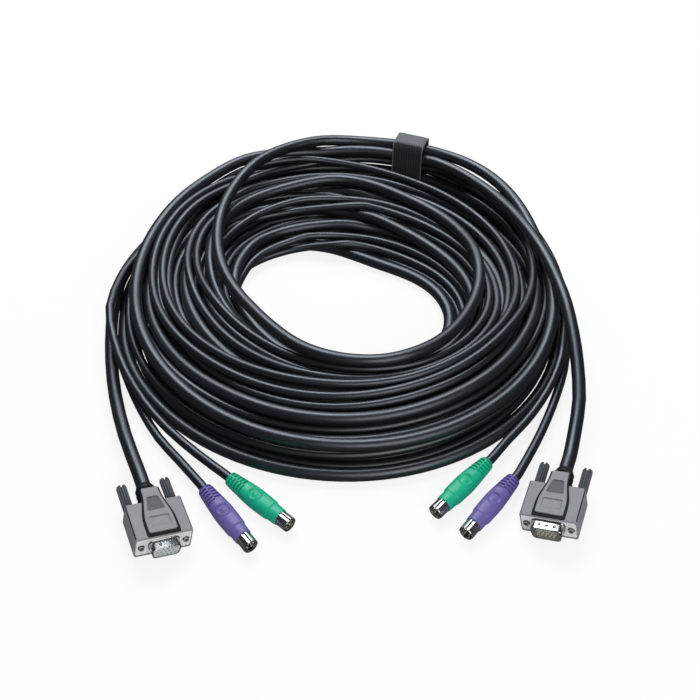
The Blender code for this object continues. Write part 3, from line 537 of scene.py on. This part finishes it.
def make_finishes():
    """Every material, under the name of the slot that it fills or of its own."""
    sheets = {
        "cord_jacket": ((0.0072, 0.0090, 0.0140), 0.38, dict(
            mottle_scale=60, grain=0.03, grain_scale=1500, spread=0.05, specular=1.0,
            tint=(0.84, 0.91, 1.0), ior=1.6)),
        "strap_fabric": ((0.032, 0.034, 0.041), 0.75, dict(
            mottle=0.15, mottle_scale=300, grain=0.25, grain_scale=1800, speckle=0.25,
            speckle_scale=1500)),
        # Lighter finish for the strap's top faces, a painted highlight from the lamp above; the hem
        # strips take the same finish
        "strap_lit_top_and_hem": ((0.145, 0.152, 0.168), 0.55, dict(
            mottle=0.12, mottle_scale=400, grain=0.10, speckle=0.12, speckle_scale=2000)),
        "hood_plastic": ((0.315, 0.328, 0.348), 0.50, dict(
            mottle=0.05, mottle_scale=120, grain=0.08, grain_scale=3000, speckle=0.14,
            speckle_scale=2200)),
        "hood_recess": ((0.115, 0.122, 0.136), 0.55, dict(
            mottle=0.06, mottle_scale=200, grain=0.08, grain_scale=3000, speckle=0.14,
            speckle_scale=2200)),
        # Black for the slab under the hood's panel and for the lines along the hood's corners: painted
        # shade
        "underlay": ((0.006, 0.0065, 0.008), 0.65, dict(mottle=0.2, grain=0.04, specular=0.25)),
        "flange_steel": ((0.94, 0.95, 0.96), 0.50, dict(
            mottle=0.04, mottle_scale=500, speckle=0.14, spread=0.1)),
        "pin_face": ((0.80, 0.81, 0.82), 0.45, dict(mottle=0.2, mottle_scale=900)),
        # Dark steel for the dimples: painted shade of dimples pressed in the skirt's own steel
        "dimple_steel": ((0.10, 0.10, 0.105), 0.4, dict(metallic=0.6)),
        # Dark steel for the rings that line the screw holes: painted shade in holes of the flange's
        # own steel
        "rim_steel": ((0.16, 0.165, 0.175), 0.4, dict(metallic=1.0, mottle=0.15)),
        "knob_plastic": ((0.085, 0.092, 0.105), 0.45, dict(mottle=0.08, grain=0.03)),
        "relief_rubber": ((0.019, 0.021, 0.026), 0.42, dict(mottle=0.12, grain=0.04)),
        "plated_steel": ((0.66, 0.67, 0.68), 0.24, dict(
            metallic=1.0, mottle=0.06, grain=0.01, spread=0.08)),
        "screw_steel": ((0.62, 0.62, 0.63), 0.30, dict(metallic=1.0, spread=0.1)),
        "contact_gold": ((0.88, 0.83, 0.70), 0.35, dict(metallic=0.25, mottle=0.06)),
        "socket_plastic": ((0.66, 0.68, 0.69), 0.5, dict(mottle=0.04, grain=0.02)),
        "pin_plastic": ((0.022, 0.022, 0.024), 0.4, dict(grain=0.02)),
        "inner_plastic": ((0.05, 0.05, 0.05), 0.5, dict(grain=0.02)),
        "keyboard_purple": ((0.180, 0.150, 0.460), 0.38, dict(
            mottle=0.07, grain=0.04, spread=0.05)),
        "mouse_green": ((0.006, 0.560, 0.310), 0.38, dict(mottle=0.07, grain=0.04, spread=0.05)),
    }
    return {
        name: make_finish(name, colour, roughness, **rest)
        for name, (colour, roughness, rest) in sheets.items()
    }


def add_camera():
    """The photograph's view."""
    data = bpy.data.cameras.new("camera")
    data.lens = 47.73
    data.sensor_width = 36.0
    data.sensor_fit = "HORIZONTAL"
    data.clip_start = 0.01
    camera = bpy.data.objects.new("camera", data)
    camera.location = (0.0079, -0.45296, 0.444)
    camera.rotation_euler = (math.radians(44.6), 0.0, 0.0)
    bpy.context.collection.objects.link(camera)
    bpy.context.scene.camera = camera


def add_light(name, place, size, power, colour=WHITE[:3]):
    """Soft rectangular lamp that points at the middle of the set."""
    data = bpy.data.lights.new(name, "AREA")
    data.shape = "RECTANGLE"
    data.size, data.size_y = size
    data.energy = power
    data.color = colour
    light = bpy.data.objects.new(name, data)
    light.location = place
    light.rotation_euler = (-Vector(place)).to_track_quat("-Z", "Y").to_euler()
    bpy.context.collection.objects.link(light)


def pick_by_ray(tree, plain, mirrored, seen, output):
    """Shows one surface to glossy rays, one to the camera and one to all the rest."""
    add = adder(tree)
    ray = add("ShaderNodeLightPath")
    gloss = add("ShaderNodeMixShader", {0: ray.outputs["Is Glossy Ray"], 1: plain, 2: mirrored})
    camera = add("ShaderNodeMixShader", {
        0: ray.outputs["Is Camera Ray"], 1: gloss.outputs[0], 2: seen,
    })
    tree.links.new(camera.outputs[0], tree.nodes[output].inputs["Surface"])


def add_studio():
    """White floor and surround that keep the floor's soft shadow."""
    world = bpy.data.worlds.new("studio")
    world.use_nodes = True
    tree = world.node_tree
    add = adder(tree)
    plain = tree.nodes["Background"]
    plain.inputs["Color"].default_value = WHITE
    plain.inputs["Strength"].default_value = AMBIENT
    mirrored = add("ShaderNodeBackground", {"Color": WHITE, "Strength": MIRRORED_SURROUND})
    seen = add("ShaderNodeBackground", {"Color": WHITE, "Strength": 1.0})
    pick_by_ray(tree, plain.outputs[0], mirrored.outputs[0], seen.outputs[0], "World Output")
    bpy.context.scene.world = world
    bpy.context.scene.view_settings.view_transform = "Standard"

    mesh = bpy.data.meshes.new("floor")
    corners = [(x * FLOOR_HALF, y * FLOOR_HALF, 0) for x, y in ((-1, -1), (1, -1), (1, 1), (-1, 1))]
    mesh.from_pydata(corners, [], [(0, 1, 2, 3)])
    floor = bpy.data.objects.new("floor", mesh)
    floor.location.z = -FLOOR_DROP
    bpy.context.collection.objects.link(floor)
    material, tree, shader, add = nodes_of("floor_paper")
    shader.inputs["Base Color"].default_value = (0.93, 0.93, 0.93, 1.0)
    shader.inputs["Roughness"].default_value = 0.85
    shader.inputs["Specular IOR Level"].default_value = 0.1
    lit = add("ShaderNodeEmission", {"Color": WHITE, "Strength": FLOOR_GLOW})
    dim = add("ShaderNodeEmission", {"Color": WHITE, "Strength": MIRRORED_FLOOR})
    paper = shader.outputs["BSDF"]
    shown = add("ShaderNodeMixShader", {0: SHADOW_LIFT, 1: paper, 2: lit.outputs[0]})
    pick_by_ray(tree, paper, dim.outputs[0], shown.outputs[0], "Material Output")
    mesh.materials.append(material)

    add_light("key", (-0.12, 0.75, 1.2), (0.9, 0.6), 10.5, (0.90, 0.95, 1.0))
    add_light("fill", (0.5, -1.1, 0.9), (1.0, 1.0), 7.5)
    add_light("back", (0.1, 1.3, 0.8), (1.8, 0.5), 4.0)


def link(name, mesh, finish, nodes, body=BODY):
    """Adds a piece to the scene, says what it rides on and hides the nodes that it stands for."""
    piece = bpy.data.objects.new(name, mesh)
    bpy.context.collection.objects.link(piece)
    mesh.materials.clear()
    mesh.materials.append(FINISHES[finish])
    mesh.shade_smooth()
    mesh.set_sharp_from_angle(angle=math.radians(38))
    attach(piece, body)
    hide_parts(*nodes)
    return piece


def skin(name, loops, matrix, caps=True, closed=False):
    """Mesh through closed loops of points given in mm, all with the same count."""
    mesh = bpy.data.meshes.new(name)
    count = len(loops[0])
    verts = [matrix @ (Vector(p) * MM) for loop in loops for p in loop]
    faces = []
    rings = len(loops)
    for i in range(rings if closed else rings - 1):
        for j in range(count):
            k = (j + 1) % count
            a, b = i * count, ((i + 1) % rings) * count
            faces.append((a + j, a + k, b + k, b + j))
    if caps and not closed:
        faces.append(tuple(reversed(range(count))))
        faces.append(tuple((rings - 1) * count + j for j in range(count)))
    mesh.from_pydata(verts, [], faces)
    work = bmesh.new()
    work.from_mesh(mesh)
    bmesh.ops.recalc_face_normals(work, faces=work.faces)
    work.to_mesh(mesh)
    work.free()
    return mesh


def turned(name, profile, matrix, sides=40, closed=False, radius_at=None):
    """Turned form round the X axis; profile is (x, radius) in mm."""
    loops = []
    for x, radius in profile:
        loop = []
        for k in range(sides):
            turn = 2 * math.pi * k / sides
            r = radius_at(x, radius, turn) if radius_at else radius
            loop.append((x, r * math.cos(turn), r * math.sin(turn)))
        loops.append(loop)
    return skin(name, loops, matrix, closed=closed)


def rounded_box_loop(x, half_y, half_z, radius, per_corner=6):
    """Rounded rectangle across the X axis."""
    loop = []
    for cy, cz, first in ((1, 1, 0), (-1, 1, 90), (-1, -1, 180), (1, -1, 270)):
        for k in range(per_corner + 1):
            turn = math.radians(first + 90 * k / per_corner)
            y = cy * (half_y - radius) + radius * math.cos(turn)
            z = cz * (half_z - radius) + radius * math.sin(turn)
            loop.append((x, y, z))
    return loop


def fillet(corners, radii, count=5):
    """Closed outline with rounded corners, with one radius for all or one for each."""
    corners = [Vector(c) for c in corners]
    if isinstance(radii, float):
        radii = [radii] * len(corners)
    outline = []
    for i, corner in enumerate(corners):
        before = corners[i - 1] - corner
        after = corners[(i + 1) % len(corners)] - corner
        start = corner + before.normalized() * min(radii[i], 0.48 * before.length)
        end = corner + after.normalized() * min(radii[i], 0.48 * after.length)
        for k in range(count + 1):
            t = k / count
            outline.append((1 - t) ** 2 * start + 2 * t * (1 - t) * corner + t * t * end)
    return outline


def slab(name, outlines, low, high, edge, matrix, upright=False):
    """Flat plate with rounded edges and holes, filled between outlines; all in mm."""
    curve = bpy.data.curves.new(name, "CURVE")
    curve.dimensions = "2D"
    curve.fill_mode = "BOTH"
    curve.extrude = (high - low) / 2 - edge
    curve.bevel_depth = edge
    curve.bevel_resolution = 2
    for outline in outlines:
        spline = curve.splines.new("POLY")
        spline.points.add(len(outline) - 1)
        for point, (a, b) in zip(spline.points, outline):
            point.co = (a, b, 0.0, 1.0)
        spline.use_cyclic_u = True
    holder = bpy.data.objects.new(name + "_outline", curve)
    bpy.context.collection.objects.link(holder)
    depsgraph = bpy.context.evaluated_depsgraph_get()
    mesh = bpy.data.meshes.new_from_object(holder.evaluated_get(depsgraph))
    bpy.data.objects.remove(holder)
    middle = (low + high) / 2
    place = Matrix.Translation((0, 0, middle))
    if upright:
        place = Matrix(((0, 0, 1, middle), (1, 0, 0, 0), (0, 1, 0, 0), (0, 0, 0, 1)))
    mesh.transform(matrix @ Matrix.Scale(MM, 4) @ place)
    mesh.name = name
    return mesh


def join_meshes(name, meshes):
    """One mesh of several, which are removed."""
    work = bmesh.new()
    for mesh in meshes:
        work.from_mesh(mesh)
        bpy.data.meshes.remove(mesh)
    joined = bpy.data.meshes.new(name)
    work.to_mesh(joined)
    work.free()
    return joined


def shell_outline(width, height, radius, count=6):
    """Slanted outline of a video connector in (y, z), its wide side up."""
    half, rise = width / 2 - radius, height / 2 - radius
    inset = 2 * rise * math.tan(math.radians(10))
    right = []
    for centre, first, last in (((half - inset, -rise), -90, -10), ((half, rise), -10, 90)):
        for k in range(count + 1):
            turn = math.radians(first + (last - first) * k / count)
            right.append((centre[0] + radius * math.cos(turn), centre[1] + radius * math.sin(turn)))
    return right + [(-y, z) for y, z in reversed(right)]


# Hood and its raised panel: length, half width and half height, and each side's outline from
# the front to the neck
HOOD = (25.0, 16.0, 7.5)
HOOD_CORNER = 1.4
FLANGE_SEAT = (15.55, 6.4, 1.35)
PANEL_TOP = 8.55
PANEL_EDGE = 0.28
# Top of the black slab in the hood, whose rim beside the panel is painted shade
SHADE_SLAB_TOP = 7.8
NECK_END = -33.5
PANEL_SIDE = [
    (-2.5, 7.9), (-7.0, 7.9), (-12.5, 7.75), (-17.5, 6.9), (-21.0, 6.1), (-24.5, 5.35),
    (-29.0, 4.85), (-33.5, 4.7),
]
# Side outline of that black slab, wider than the panel so that its rim shows as painted shade
SHADE_SLAB_SIDE = [
    (-0.3, 9.4), (-7.0, 9.35), (-12.5, 9.1), (-17.5, 8.1), (-21.0, 7.2), (-24.5, 6.4),
    (-29.0, 5.9), (-33.5, 5.7),
]
# The panel's two recesses, as corners and middle: one tapers to the neck, one is a plain plate
TAPER = ([(-17.5, -4.9), (-17.5, 4.9), (-27.0, 3.1), (-27.0, -3.1)], 1.3, (-22, 0))
PLATE = ([(-6.5, -5.4), (-6.5, 5.4), (-13.3, 5.4), (-13.3, -5.4)], 1.1, (-9.9, 0))
SCREW_OFFSET = 12.495
SCREW_HOLE_RADIUS = 1.85


def panel_outline(points, grow, front, back):
    """Closed outline of the panel from the points of one side."""
    side = [(p.x, p.y) for p in smooth_line([(x, y, 0) for x, y in points], 4)]
    side = [(x, y + grow) for x, y in side if back + 0.4 < x < front - 0.4]
    first, last = side[0][1], side[-1][1]
    side = [(front, first - 1.0), (front - 0.3, first - 0.3)] + side
    side += [(back + 0.2, last - 0.1), (back, last - 0.5)]
    return side + [(x, -y) for x, y in reversed(side)]


def make_hood(side, matrix):
    """Moulded block with a raised panel on both faces and its recesses, black lines of painted shade
    along its corners, and a black slab whose rim is painted shade beside the panel.
    """
    name = f"{side}_vga_hood"
    length, half_y, half_z = HOOD
    faces = [matrix @ Matrix.Identity(4), matrix @ Matrix.Rotation(math.pi, 4, "X")]
    steps = [
        (-length, 0.9), (-length + 0.15, 0.5), (-length + 0.5, 0.15), (-length + 1.0, 0.0),
        (-1.0, 0.0), (-0.3, 0.06), (-0.08, 0.2), (0.0, 0.42),
    ]
    loops = []
    for x, inset in steps:
        corner = HOOD_CORNER - min(inset, 0.9)
        loops.append(rounded_box_loop(x, half_y - inset, half_z - inset, corner))
    loops += [rounded_box_loop(x, *FLANGE_SEAT) for x in (0.0, -1.25)]
    parts = [skin(name, loops, matrix)]

    outlines = [panel_outline(PANEL_SIDE, -PANEL_EDGE, -2.5 - PANEL_EDGE, NECK_END + PANEL_EDGE)]
    for corners, radius, middle in (TAPER, PLATE):
        centre = Vector(middle)
        hole = fillet(corners, radius)
        outlines.append([(point - centre) * 1.06 + centre for point in hole])
    floor = (SHADE_SLAB_TOP - 0.2, SHADE_SLAB_TOP + 0.07, 0.03)
    for face in faces:
        parts.append(slab("panel", outlines, SHADE_SLAB_TOP - 0.5, PANEL_TOP, PANEL_EDGE, face))
        parts.append(slab("panel_floor", [fillet(*PLATE[:2])], *floor, face))
    hood = link(name, join_meshes(name, parts), "hood_plastic", [name])

    # Thin black beads along the four long corners: painted shade where the top turns into the sides
    corner_shade_lines = []
    for y, z in ((1, 1), (-1, 1), (-1, -1), (1, -1)):
        corner = Vector((0, y * (half_y - HOOD_CORNER), z * (half_z - HOOD_CORNER)))
        middle = corner + Vector((0, y, z)).normalized() * (HOOD_CORNER - 0.38)
        place = matrix @ Matrix.Translation(middle * MM)
        bead = [(-length + 0.5, 0.1), (-length + 0.8, 0.5), (-1.0, 0.5), (-0.7, 0.1)]
        corner_shade_lines.append(turned("seam", bead, place, sides=16))
    mesh = join_meshes(name + "_seams", corner_shade_lines)
    link(name + "_seams", mesh, "underlay", [name])

    # Black slab through the hood: its rim beside the panel's edges is painted shade of the panel's
    # side walls
    core = panel_outline(SHADE_SLAB_SIDE, -0.2, -0.5, NECK_END + 0.25)
    mesh = slab(name + "_underlay", [core], -SHADE_SLAB_TOP, SHADE_SLAB_TOP, 0.2, matrix)
    underlay = link(name + "_underlay", mesh, "underlay", [name])

    inlays = [slab("inlay", [fillet(*TAPER[:2])], *floor, face) for face in faces]
    mesh = join_meshes(name + "_inlay", inlays)
    inlay = link(name + "_inlay", mesh, "hood_recess", [name])
    return [hood, underlay, inlay]


def make_relief(side, matrix):
    """Turned rubber sleeve with two bulging rings and a thin tail."""
    name = f"{side}_vga_strain_relief"
    seat = NECK_END - 0.1
    profile = [(seat + 3.0, 0.5), (seat + 3.0, 4.6), (seat, 4.7)]
    for start, radius in ((seat, 6.0), (seat - 3.1, 5.8)):
        for k in range(9):
            bulge = 1.05 * math.sin(math.pi * k / 8) ** 0.6
            profile.append((start - 0.15 - 2.5 * k / 8, radius - 1.05 + bulge))
    profile += [(seat - back, radius) for back, radius in (
        (6.0, 4.55), (6.3, 4.95), (7.2, 4.75), (7.7, 4.4), (7.8, 4.0),
    )]
    return link(name, turned(name, profile, matrix), "relief_rubber", [name])


def make_metal(side, matrix):
    """Flange and skirt in one pressing, with a soft root and a rolled lip."""
    name = f"{side}_vga_metal_shell"
    width, height = (16.3, 7.9) if side == "left" else (17.7, 9.2)
    corners = [(15.25, 6.1), (-15.25, 6.1), (-15.25, -6.1), (15.25, -6.1)]
    outlines = [fillet(corners, 1.5), shell_outline(width - 0.6, height - 0.6, 2.1)]
    for y in (-SCREW_OFFSET, SCREW_OFFSET):
        turns = [t * math.pi / 12 for t in range(24)]
        outlines.append([
            (y + SCREW_HOLE_RADIUS * math.cos(t), SCREW_HOLE_RADIUS * math.sin(t)) for t in turns
        ])
    flange = slab(name, outlines, -1.1, -0.25, 0.15, matrix, upright=True)
    sections = [
        (-0.6, 0.9), (-0.28, 0.85), (-0.2, 0.5), (0.1, 0.18), (0.6, 0.0), (5.4, 0.0),
        (5.7, -0.1), (5.8, -0.25), (5.75, -0.45), (5.4, -0.5), (-1.5, -0.5),
    ]
    loops = []
    for x, grow in sections:
        outline = shell_outline(width + 2 * grow, height + 2 * grow, 2.4 + grow)
        loops.append([(x, y, z) for y, z in outline])
    skirt = skin(name + "_skirt", loops, matrix, caps=False)
    pieces = [
        link(name + "_flange", flange, "flange_steel", [name]),
        link(name + "_skirt", skirt, "plated_steel", [name]),
    ]
    # Nearly flat dark discs: painted shade where the skirt is pressed into dimples
    dimples = []
    for z, up in ((height / 2, 1), (-height / 2, -1)):
        for y in (-4.2, 0.0, 4.2) if side == "right" else (-3.0, 3.0):
            place = matrix @ Matrix.Translation(Vector((2.9, y, z)) * MM)
            turn = Matrix.Rotation(-up * math.pi / 2, 4, "Y")
            bowl = [(-0.02, 0.95), (0.05, 0.85), (0.07, 0.68), (0.03, 0.5), (0.02, 0.05)]
            dimples.append(turned("dimple", bowl, place @ turn, sides=16))
    mesh = join_meshes(name + "_dimples", dimples)
    pieces.append(link(name + "_dimples", mesh, "dimple_steel", [name]))
    # Lips round the screw holes, darkened as painted shade in the holes
    rims = []
    for y in (-SCREW_OFFSET, SCREW_OFFSET):
        place = matrix @ Matrix.Translation(Vector((0, y, 0)) * MM)
        ring = [
            (-0.9, 1.95), (-0.25, 1.95), (-0.12, 1.85), (-0.12, 1.6), (-0.3, 1.5), (-0.9, 1.5),
        ]
        rims.append(turned("rim", ring, place, sides=24, closed=True))
    mesh = join_meshes(name + "_rims", rims)
    pieces.append(link(name + "_rims", mesh, "rim_steel", [name]))
    return pieces


# Knob: where it begins and ends behind the plug's face, its flutes and its slot
KNOB_FRONT = -25.3
KNOB_BACK = -44.1
KNOB_FLUTES = 10
FLUTE_DEPTH = 0.7
KNOB_SLOT = (0.62, 4.0)
KNOB_SLOT_FROM = -41.9
KNOB_SLOT_TO = -45.3


def make_knob(side, hand, matrix):
    """Fluted knob of a thumbscrew with a screwdriver slot in its end."""
    name = f"{side}_vga_knob_{hand}"
    y = -SCREW_OFFSET if hand == "a" else SCREW_OFFSET
    place = matrix @ Matrix.Translation((0, y * MM, 0))

    def fluted(x, radius, turn):
        depth = (0.5 + 0.5 * math.cos(KNOB_FLUTES * turn)) ** 3
        return radius - FLUTE_DEPTH * depth * min(1.0, radius / 2.6)

    front = [(0, 0.3), (0, 2.3), (0.2, 2.7), (0.6, 2.95)]
    back = [(1.0, 2.95), (0.4, 2.75), (0, 2.2), (0, 0.3)]
    profile = [(KNOB_FRONT - x, radius) for x, radius in front]
    profile += [(KNOB_BACK + x, radius) for x, radius in back]
    mesh = turned(name, profile, place, sides=120, radius_at=fluted)
    knob = link(name, mesh, "knob_plastic", [name], f"{side}_thumbscrew_{hand}")
    slot = [rounded_box_loop(x, *KNOB_SLOT, 0.1, 1) for x in (KNOB_SLOT_FROM, KNOB_SLOT_TO)]
    cutter = bpy.data.objects.new("slot_cutter", skin("slot", slot, place))
    bpy.context.collection.objects.link(cutter)
    change = knob.modifiers.new("slot", "BOOLEAN")
    change.operation = "DIFFERENCE"
    change.solver = "EXACT"
    change.object = cutter
    depsgraph = bpy.context.evaluated_depsgraph_get()
    result = bpy.data.meshes.new_from_object(knob.evaluated_get(depsgraph))
    knob.modifiers.clear()
    knob.data = result
    bpy.data.objects.remove(cutter)


def make_video_plug(side):
    """Both knobs and the pieces that stay with the cord, which it gives back."""
    matrix = plug_matrix(side, "video")
    pieces = make_hood(side, matrix) + [make_relief(side, matrix)] + make_metal(side, matrix)
    for hand in ("a", "b"):
        make_knob(side, hand, matrix)
    return pieces


# Round plug body: x, half width, half height and squareness of its cross-section, and how
# finely each stretch of it is cut
BODY_SECTIONS = np.array([
    (-41.6, 3.4, 3.4, 2.0), (-41.45, 3.95, 3.9, 2.1), (-40.9, 4.3, 4.2, 2.2),
    (-38.5, 4.65, 4.4, 2.3), (-35.0, 4.95, 4.65, 2.4), (-31.0, 5.3, 4.95, 2.5),
    (-27.0, 5.6, 5.2, 2.5), (-22.0, 6.0, 5.4, 2.5), (-18.0, 6.05, 5.45, 2.5),
    (-13.0, 5.9, 5.4, 2.5), (-8.6, 5.75, 5.3, 2.5), (-7.6, 5.6, 5.25, 2.5),
    (-7.0, 5.2, 5.05, 2.4), (-6.6, 5.1, 4.95, 2.4), (-3.0, 5.0, 4.9, 2.3),
    (-0.9, 4.95, 4.85, 2.2), (-0.55, 4.85, 4.75, 2.2), (-0.4, 4.65, 4.6, 2.1),
])
BODY_SPANS = [
    (-41.6, -28.4, 0.13), (-28.4, -26.0, 0.4), (-26.0, -14.0, 0.18), (-14.0, -9.0, 0.5),
    (-9.0, -6.0, 0.15), (-6.0, -1.0, 0.5), (-1.0, -0.39, 0.1),
]
BODY_SIDES = 112
SLOT_PITCH = 2.45
SLOT_WIDTH = 1.15
SLOT_DEPTH = 1.25
SLOTS_FROM = -41.2
SLOTS_TO = -28.7
EMBLEM_X = -20.0


def ramp_to_one(x):
    """The number itself, kept between 0 and 1."""
    return min(1.0, max(0.0, x))


def body_relief(x, y, z):
    """How far the body's surface sinks (negative: stands proud) at a point, in mm."""
    sink = 0.0
    if SLOTS_FROM < x < SLOTS_TO and abs(z) > 1.2:
        stagger = 0.0 if y > 0 else 0.5
        phase = ((x - SLOTS_FROM) / SLOT_PITCH + stagger) % 1.0
        across = abs(phase - 0.5) * SLOT_PITCH
        wall = ramp_to_one((SLOT_WIDTH / 2 + 0.12 - across) / 0.24)
        spine = ramp_to_one((abs(y) - 0.35) / 0.3)
        side = ramp_to_one((abs(z) - 1.2) / 0.6)
        ends = min(1.0, (x - SLOTS_FROM) / 0.3, (SLOTS_TO - x) / 0.3)
        sink += SLOT_DEPTH * wall * spine * side * ends
    if z > 2.0:
        away = math.hypot(x - EMBLEM_X, y)
        sink -= 0.34 * math.exp(-(((away - 4.0) / 0.40) ** 2))
        dish = ramp_to_one((3.6 - away) / 0.5)
        sink += dish * (0.85 - 0.60 * math.exp(-((away / 1.9) ** 2)))
    return sink


def make_body(side, role, matrix):
    """Moulded body with staggered slots in its tail and a plain ring on top."""
    name = f"{side}_{role}_plug_body"
    turns = [2 * math.pi * k / BODY_SIDES for k in range(BODY_SIDES)]
    loops = []
    for x in (x for low, high, step in BODY_SPANS for x in np.arange(low, high, step)):
        half_y, half_z, power = (
            np.interp(x, BODY_SECTIONS[:, 0], BODY_SECTIONS[:, k]) for k in (1, 2, 3)
        )
        loop = []
        for turn in turns:
            out, up = math.cos(turn), math.sin(turn)
            y = half_y * math.copysign(abs(out) ** (2 / power), out)
            z = half_z * math.copysign(abs(up) ** (2 / power), up)
            left = 1 - body_relief(x, y, z) / math.hypot(y, z)
            loop.append((x, y * left, z * left))
        loops.append(loop)
    for x, radius in ((-0.4, 4.55), (-0.7, 4.5), (-3.0, 4.5)):
        loops.append([(x, radius * math.cos(turn), radius * math.sin(turn)) for turn in turns])
    slot = "keyboard_purple" if role == "keyboard" else "mouse_green"
    return link(name, skin(name, loops, matrix), slot, [name])


def make_skirt(side, role, matrix):
    """Round metal skirt with a rolled lip, a pressed key and two latch marks."""
    name = f"{side}_{role}_plug_shell"

    def pressed(x, radius, turn):
        dent = 0.0
        for at, wide in ((90, 13), (205, 8), (335, 8)):
            apart = abs((math.degrees(turn) - at + 180) % 360 - 180)
            dent += 0.75 * max(0.0, 1 - (apart / wide) ** 4) * (1.0 if at == 90 else 0.5)
        return radius - dent * ramp_to_one((x + 0.5) / 1.0)

    profile = [
        (-9.0, 4.5), (0.4, 4.5), (1.2, 4.5), (6.6, 4.5), (7.0, 4.45), (7.2, 4.3), (7.15, 4.14),
        (6.9, 4.1), (1.2, 4.1), (0.4, 4.1), (-9.0, 4.1),
    ]
    mesh = turned(name, profile, matrix, sides=144, closed=True, radius_at=pressed)
    return link(name, mesh, "plated_steel", [name])


def make_round_plug(side, role):
    """Body and skirt of one round plug."""
    matrix = plug_matrix(side, role)
    return [make_body(side, role, matrix), make_skirt(side, role, matrix)]


def make_strap():
    """Ribbed tape in a closed loop round the outer turns, with a smooth lapped end on top; its top
    faces take a lighter finish as a painted highlight, and its hems take the same finish.
    """
    inner, outer, top = STRAP_INNER[0], STRAP_OUTER, STRAP_TOP
    corners = [(inner, 0.1), (outer, 0.1), (outer, top), (inner + 1.5, top - 0.6)]
    path = fillet(corners, (3.0, 3.5, 4.0, 6.0), 10)
    dense = []
    for a, b in zip(path, path[1:] + path[:1]):
        pieces = max(1, int((b - a).length / 0.8))
        dense += [a.lerp(b, k / pieces) for k in range(pieces)]
    turn = math.radians(STRAP_ANGLE)
    out = Vector((math.cos(turn), math.sin(turn), 0))
    across = Vector((-math.sin(turn), math.cos(turn), 0))
    centre = Vector((COIL_X, COIL_Y, 0)) / MM

    def placed(q, offset):
        return centre + out * q.x + across * offset + Vector((0, 0, max(0.05, q.y)))

    columns = 6 * STRAP_RIBS
    half = STRAP_WIDTH / 2
    loops = []
    for i, p in enumerate(dense):
        ahead = dense[(i + 1) % len(dense)] - dense[i - 1]
        normal = Vector((ahead.y, -ahead.x)).normalized()
        lap = ramp_to_one((normal.y - 0.75) / 0.2)
        loop = []
        for k in range(columns + 1):
            share = 2 * k / columns - 1
            aside = abs(share)
            rib = RIB_DEPTH * math.cos(2 * math.pi * STRAP_RIBS * k / columns) * (1 - lap) - 0.1
            rise = RIB_DEPTH * ramp_to_one((aside - HEM_FROM) / 0.04) + 0.35 * lap
            rise += rib if aside < HEM_FROM else 0.0
            rise -= 4.5 * max(0.0, aside - 0.97)
            rise -= 1.3 * lap * max(0.0, (aside - 0.75) / 0.25) ** 2
            loop.append(placed(p + normal * rise, share * half))
        for k in range(columns, -1, -columns // 6):
            share = 2 * k / columns - 1
            loop.append(placed(p - normal * STRAP_THICKNESS, share * (half - 0.2)))
        loops.append(loop)
    mesh = skin("tie_strap", loops, Matrix.Identity(4), closed=True)
    link("tie_strap_tape", mesh, "strap_fabric", ["tie_strap"])
    # Second finish: a painted highlight on the faces that look up, also given to the hem strips
    mesh.materials.append(FINISHES["strap_lit_top_and_hem"])
    for face in mesh.polygons:
        corners = [mesh.vertices[v].co / MM - centre for v in face.vertices]
        on_top = face.normal.z > 0.75 and face.center.z > 0.04
        in_hem = min(abs(corner.dot(across)) / half for corner in corners) > 0.89
        if on_top or in_hem and face.center.z > 0.002:
            face.material_index = 1


FINISHES = make_finishes()
add_camera()
add_studio()
WINDING = wind_cords()
CORDS = {role: make_cord(role, WINDING[role]) for role in RADIUS}
make_strap()
for side in ("left", "right"):
    fitted = {"video": make_video_plug(side)}
    for role in ("keyboard", "mouse"):
        fitted[role] = make_round_plug(side, role)

for name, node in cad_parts.items():
    for place in node.material_slots:
        slot = place.material.name.split(".")[0]
        if slot in FINISHES:
            place.material = FINISHES["pin_face" if name == "right_vga_insulator" else slot]
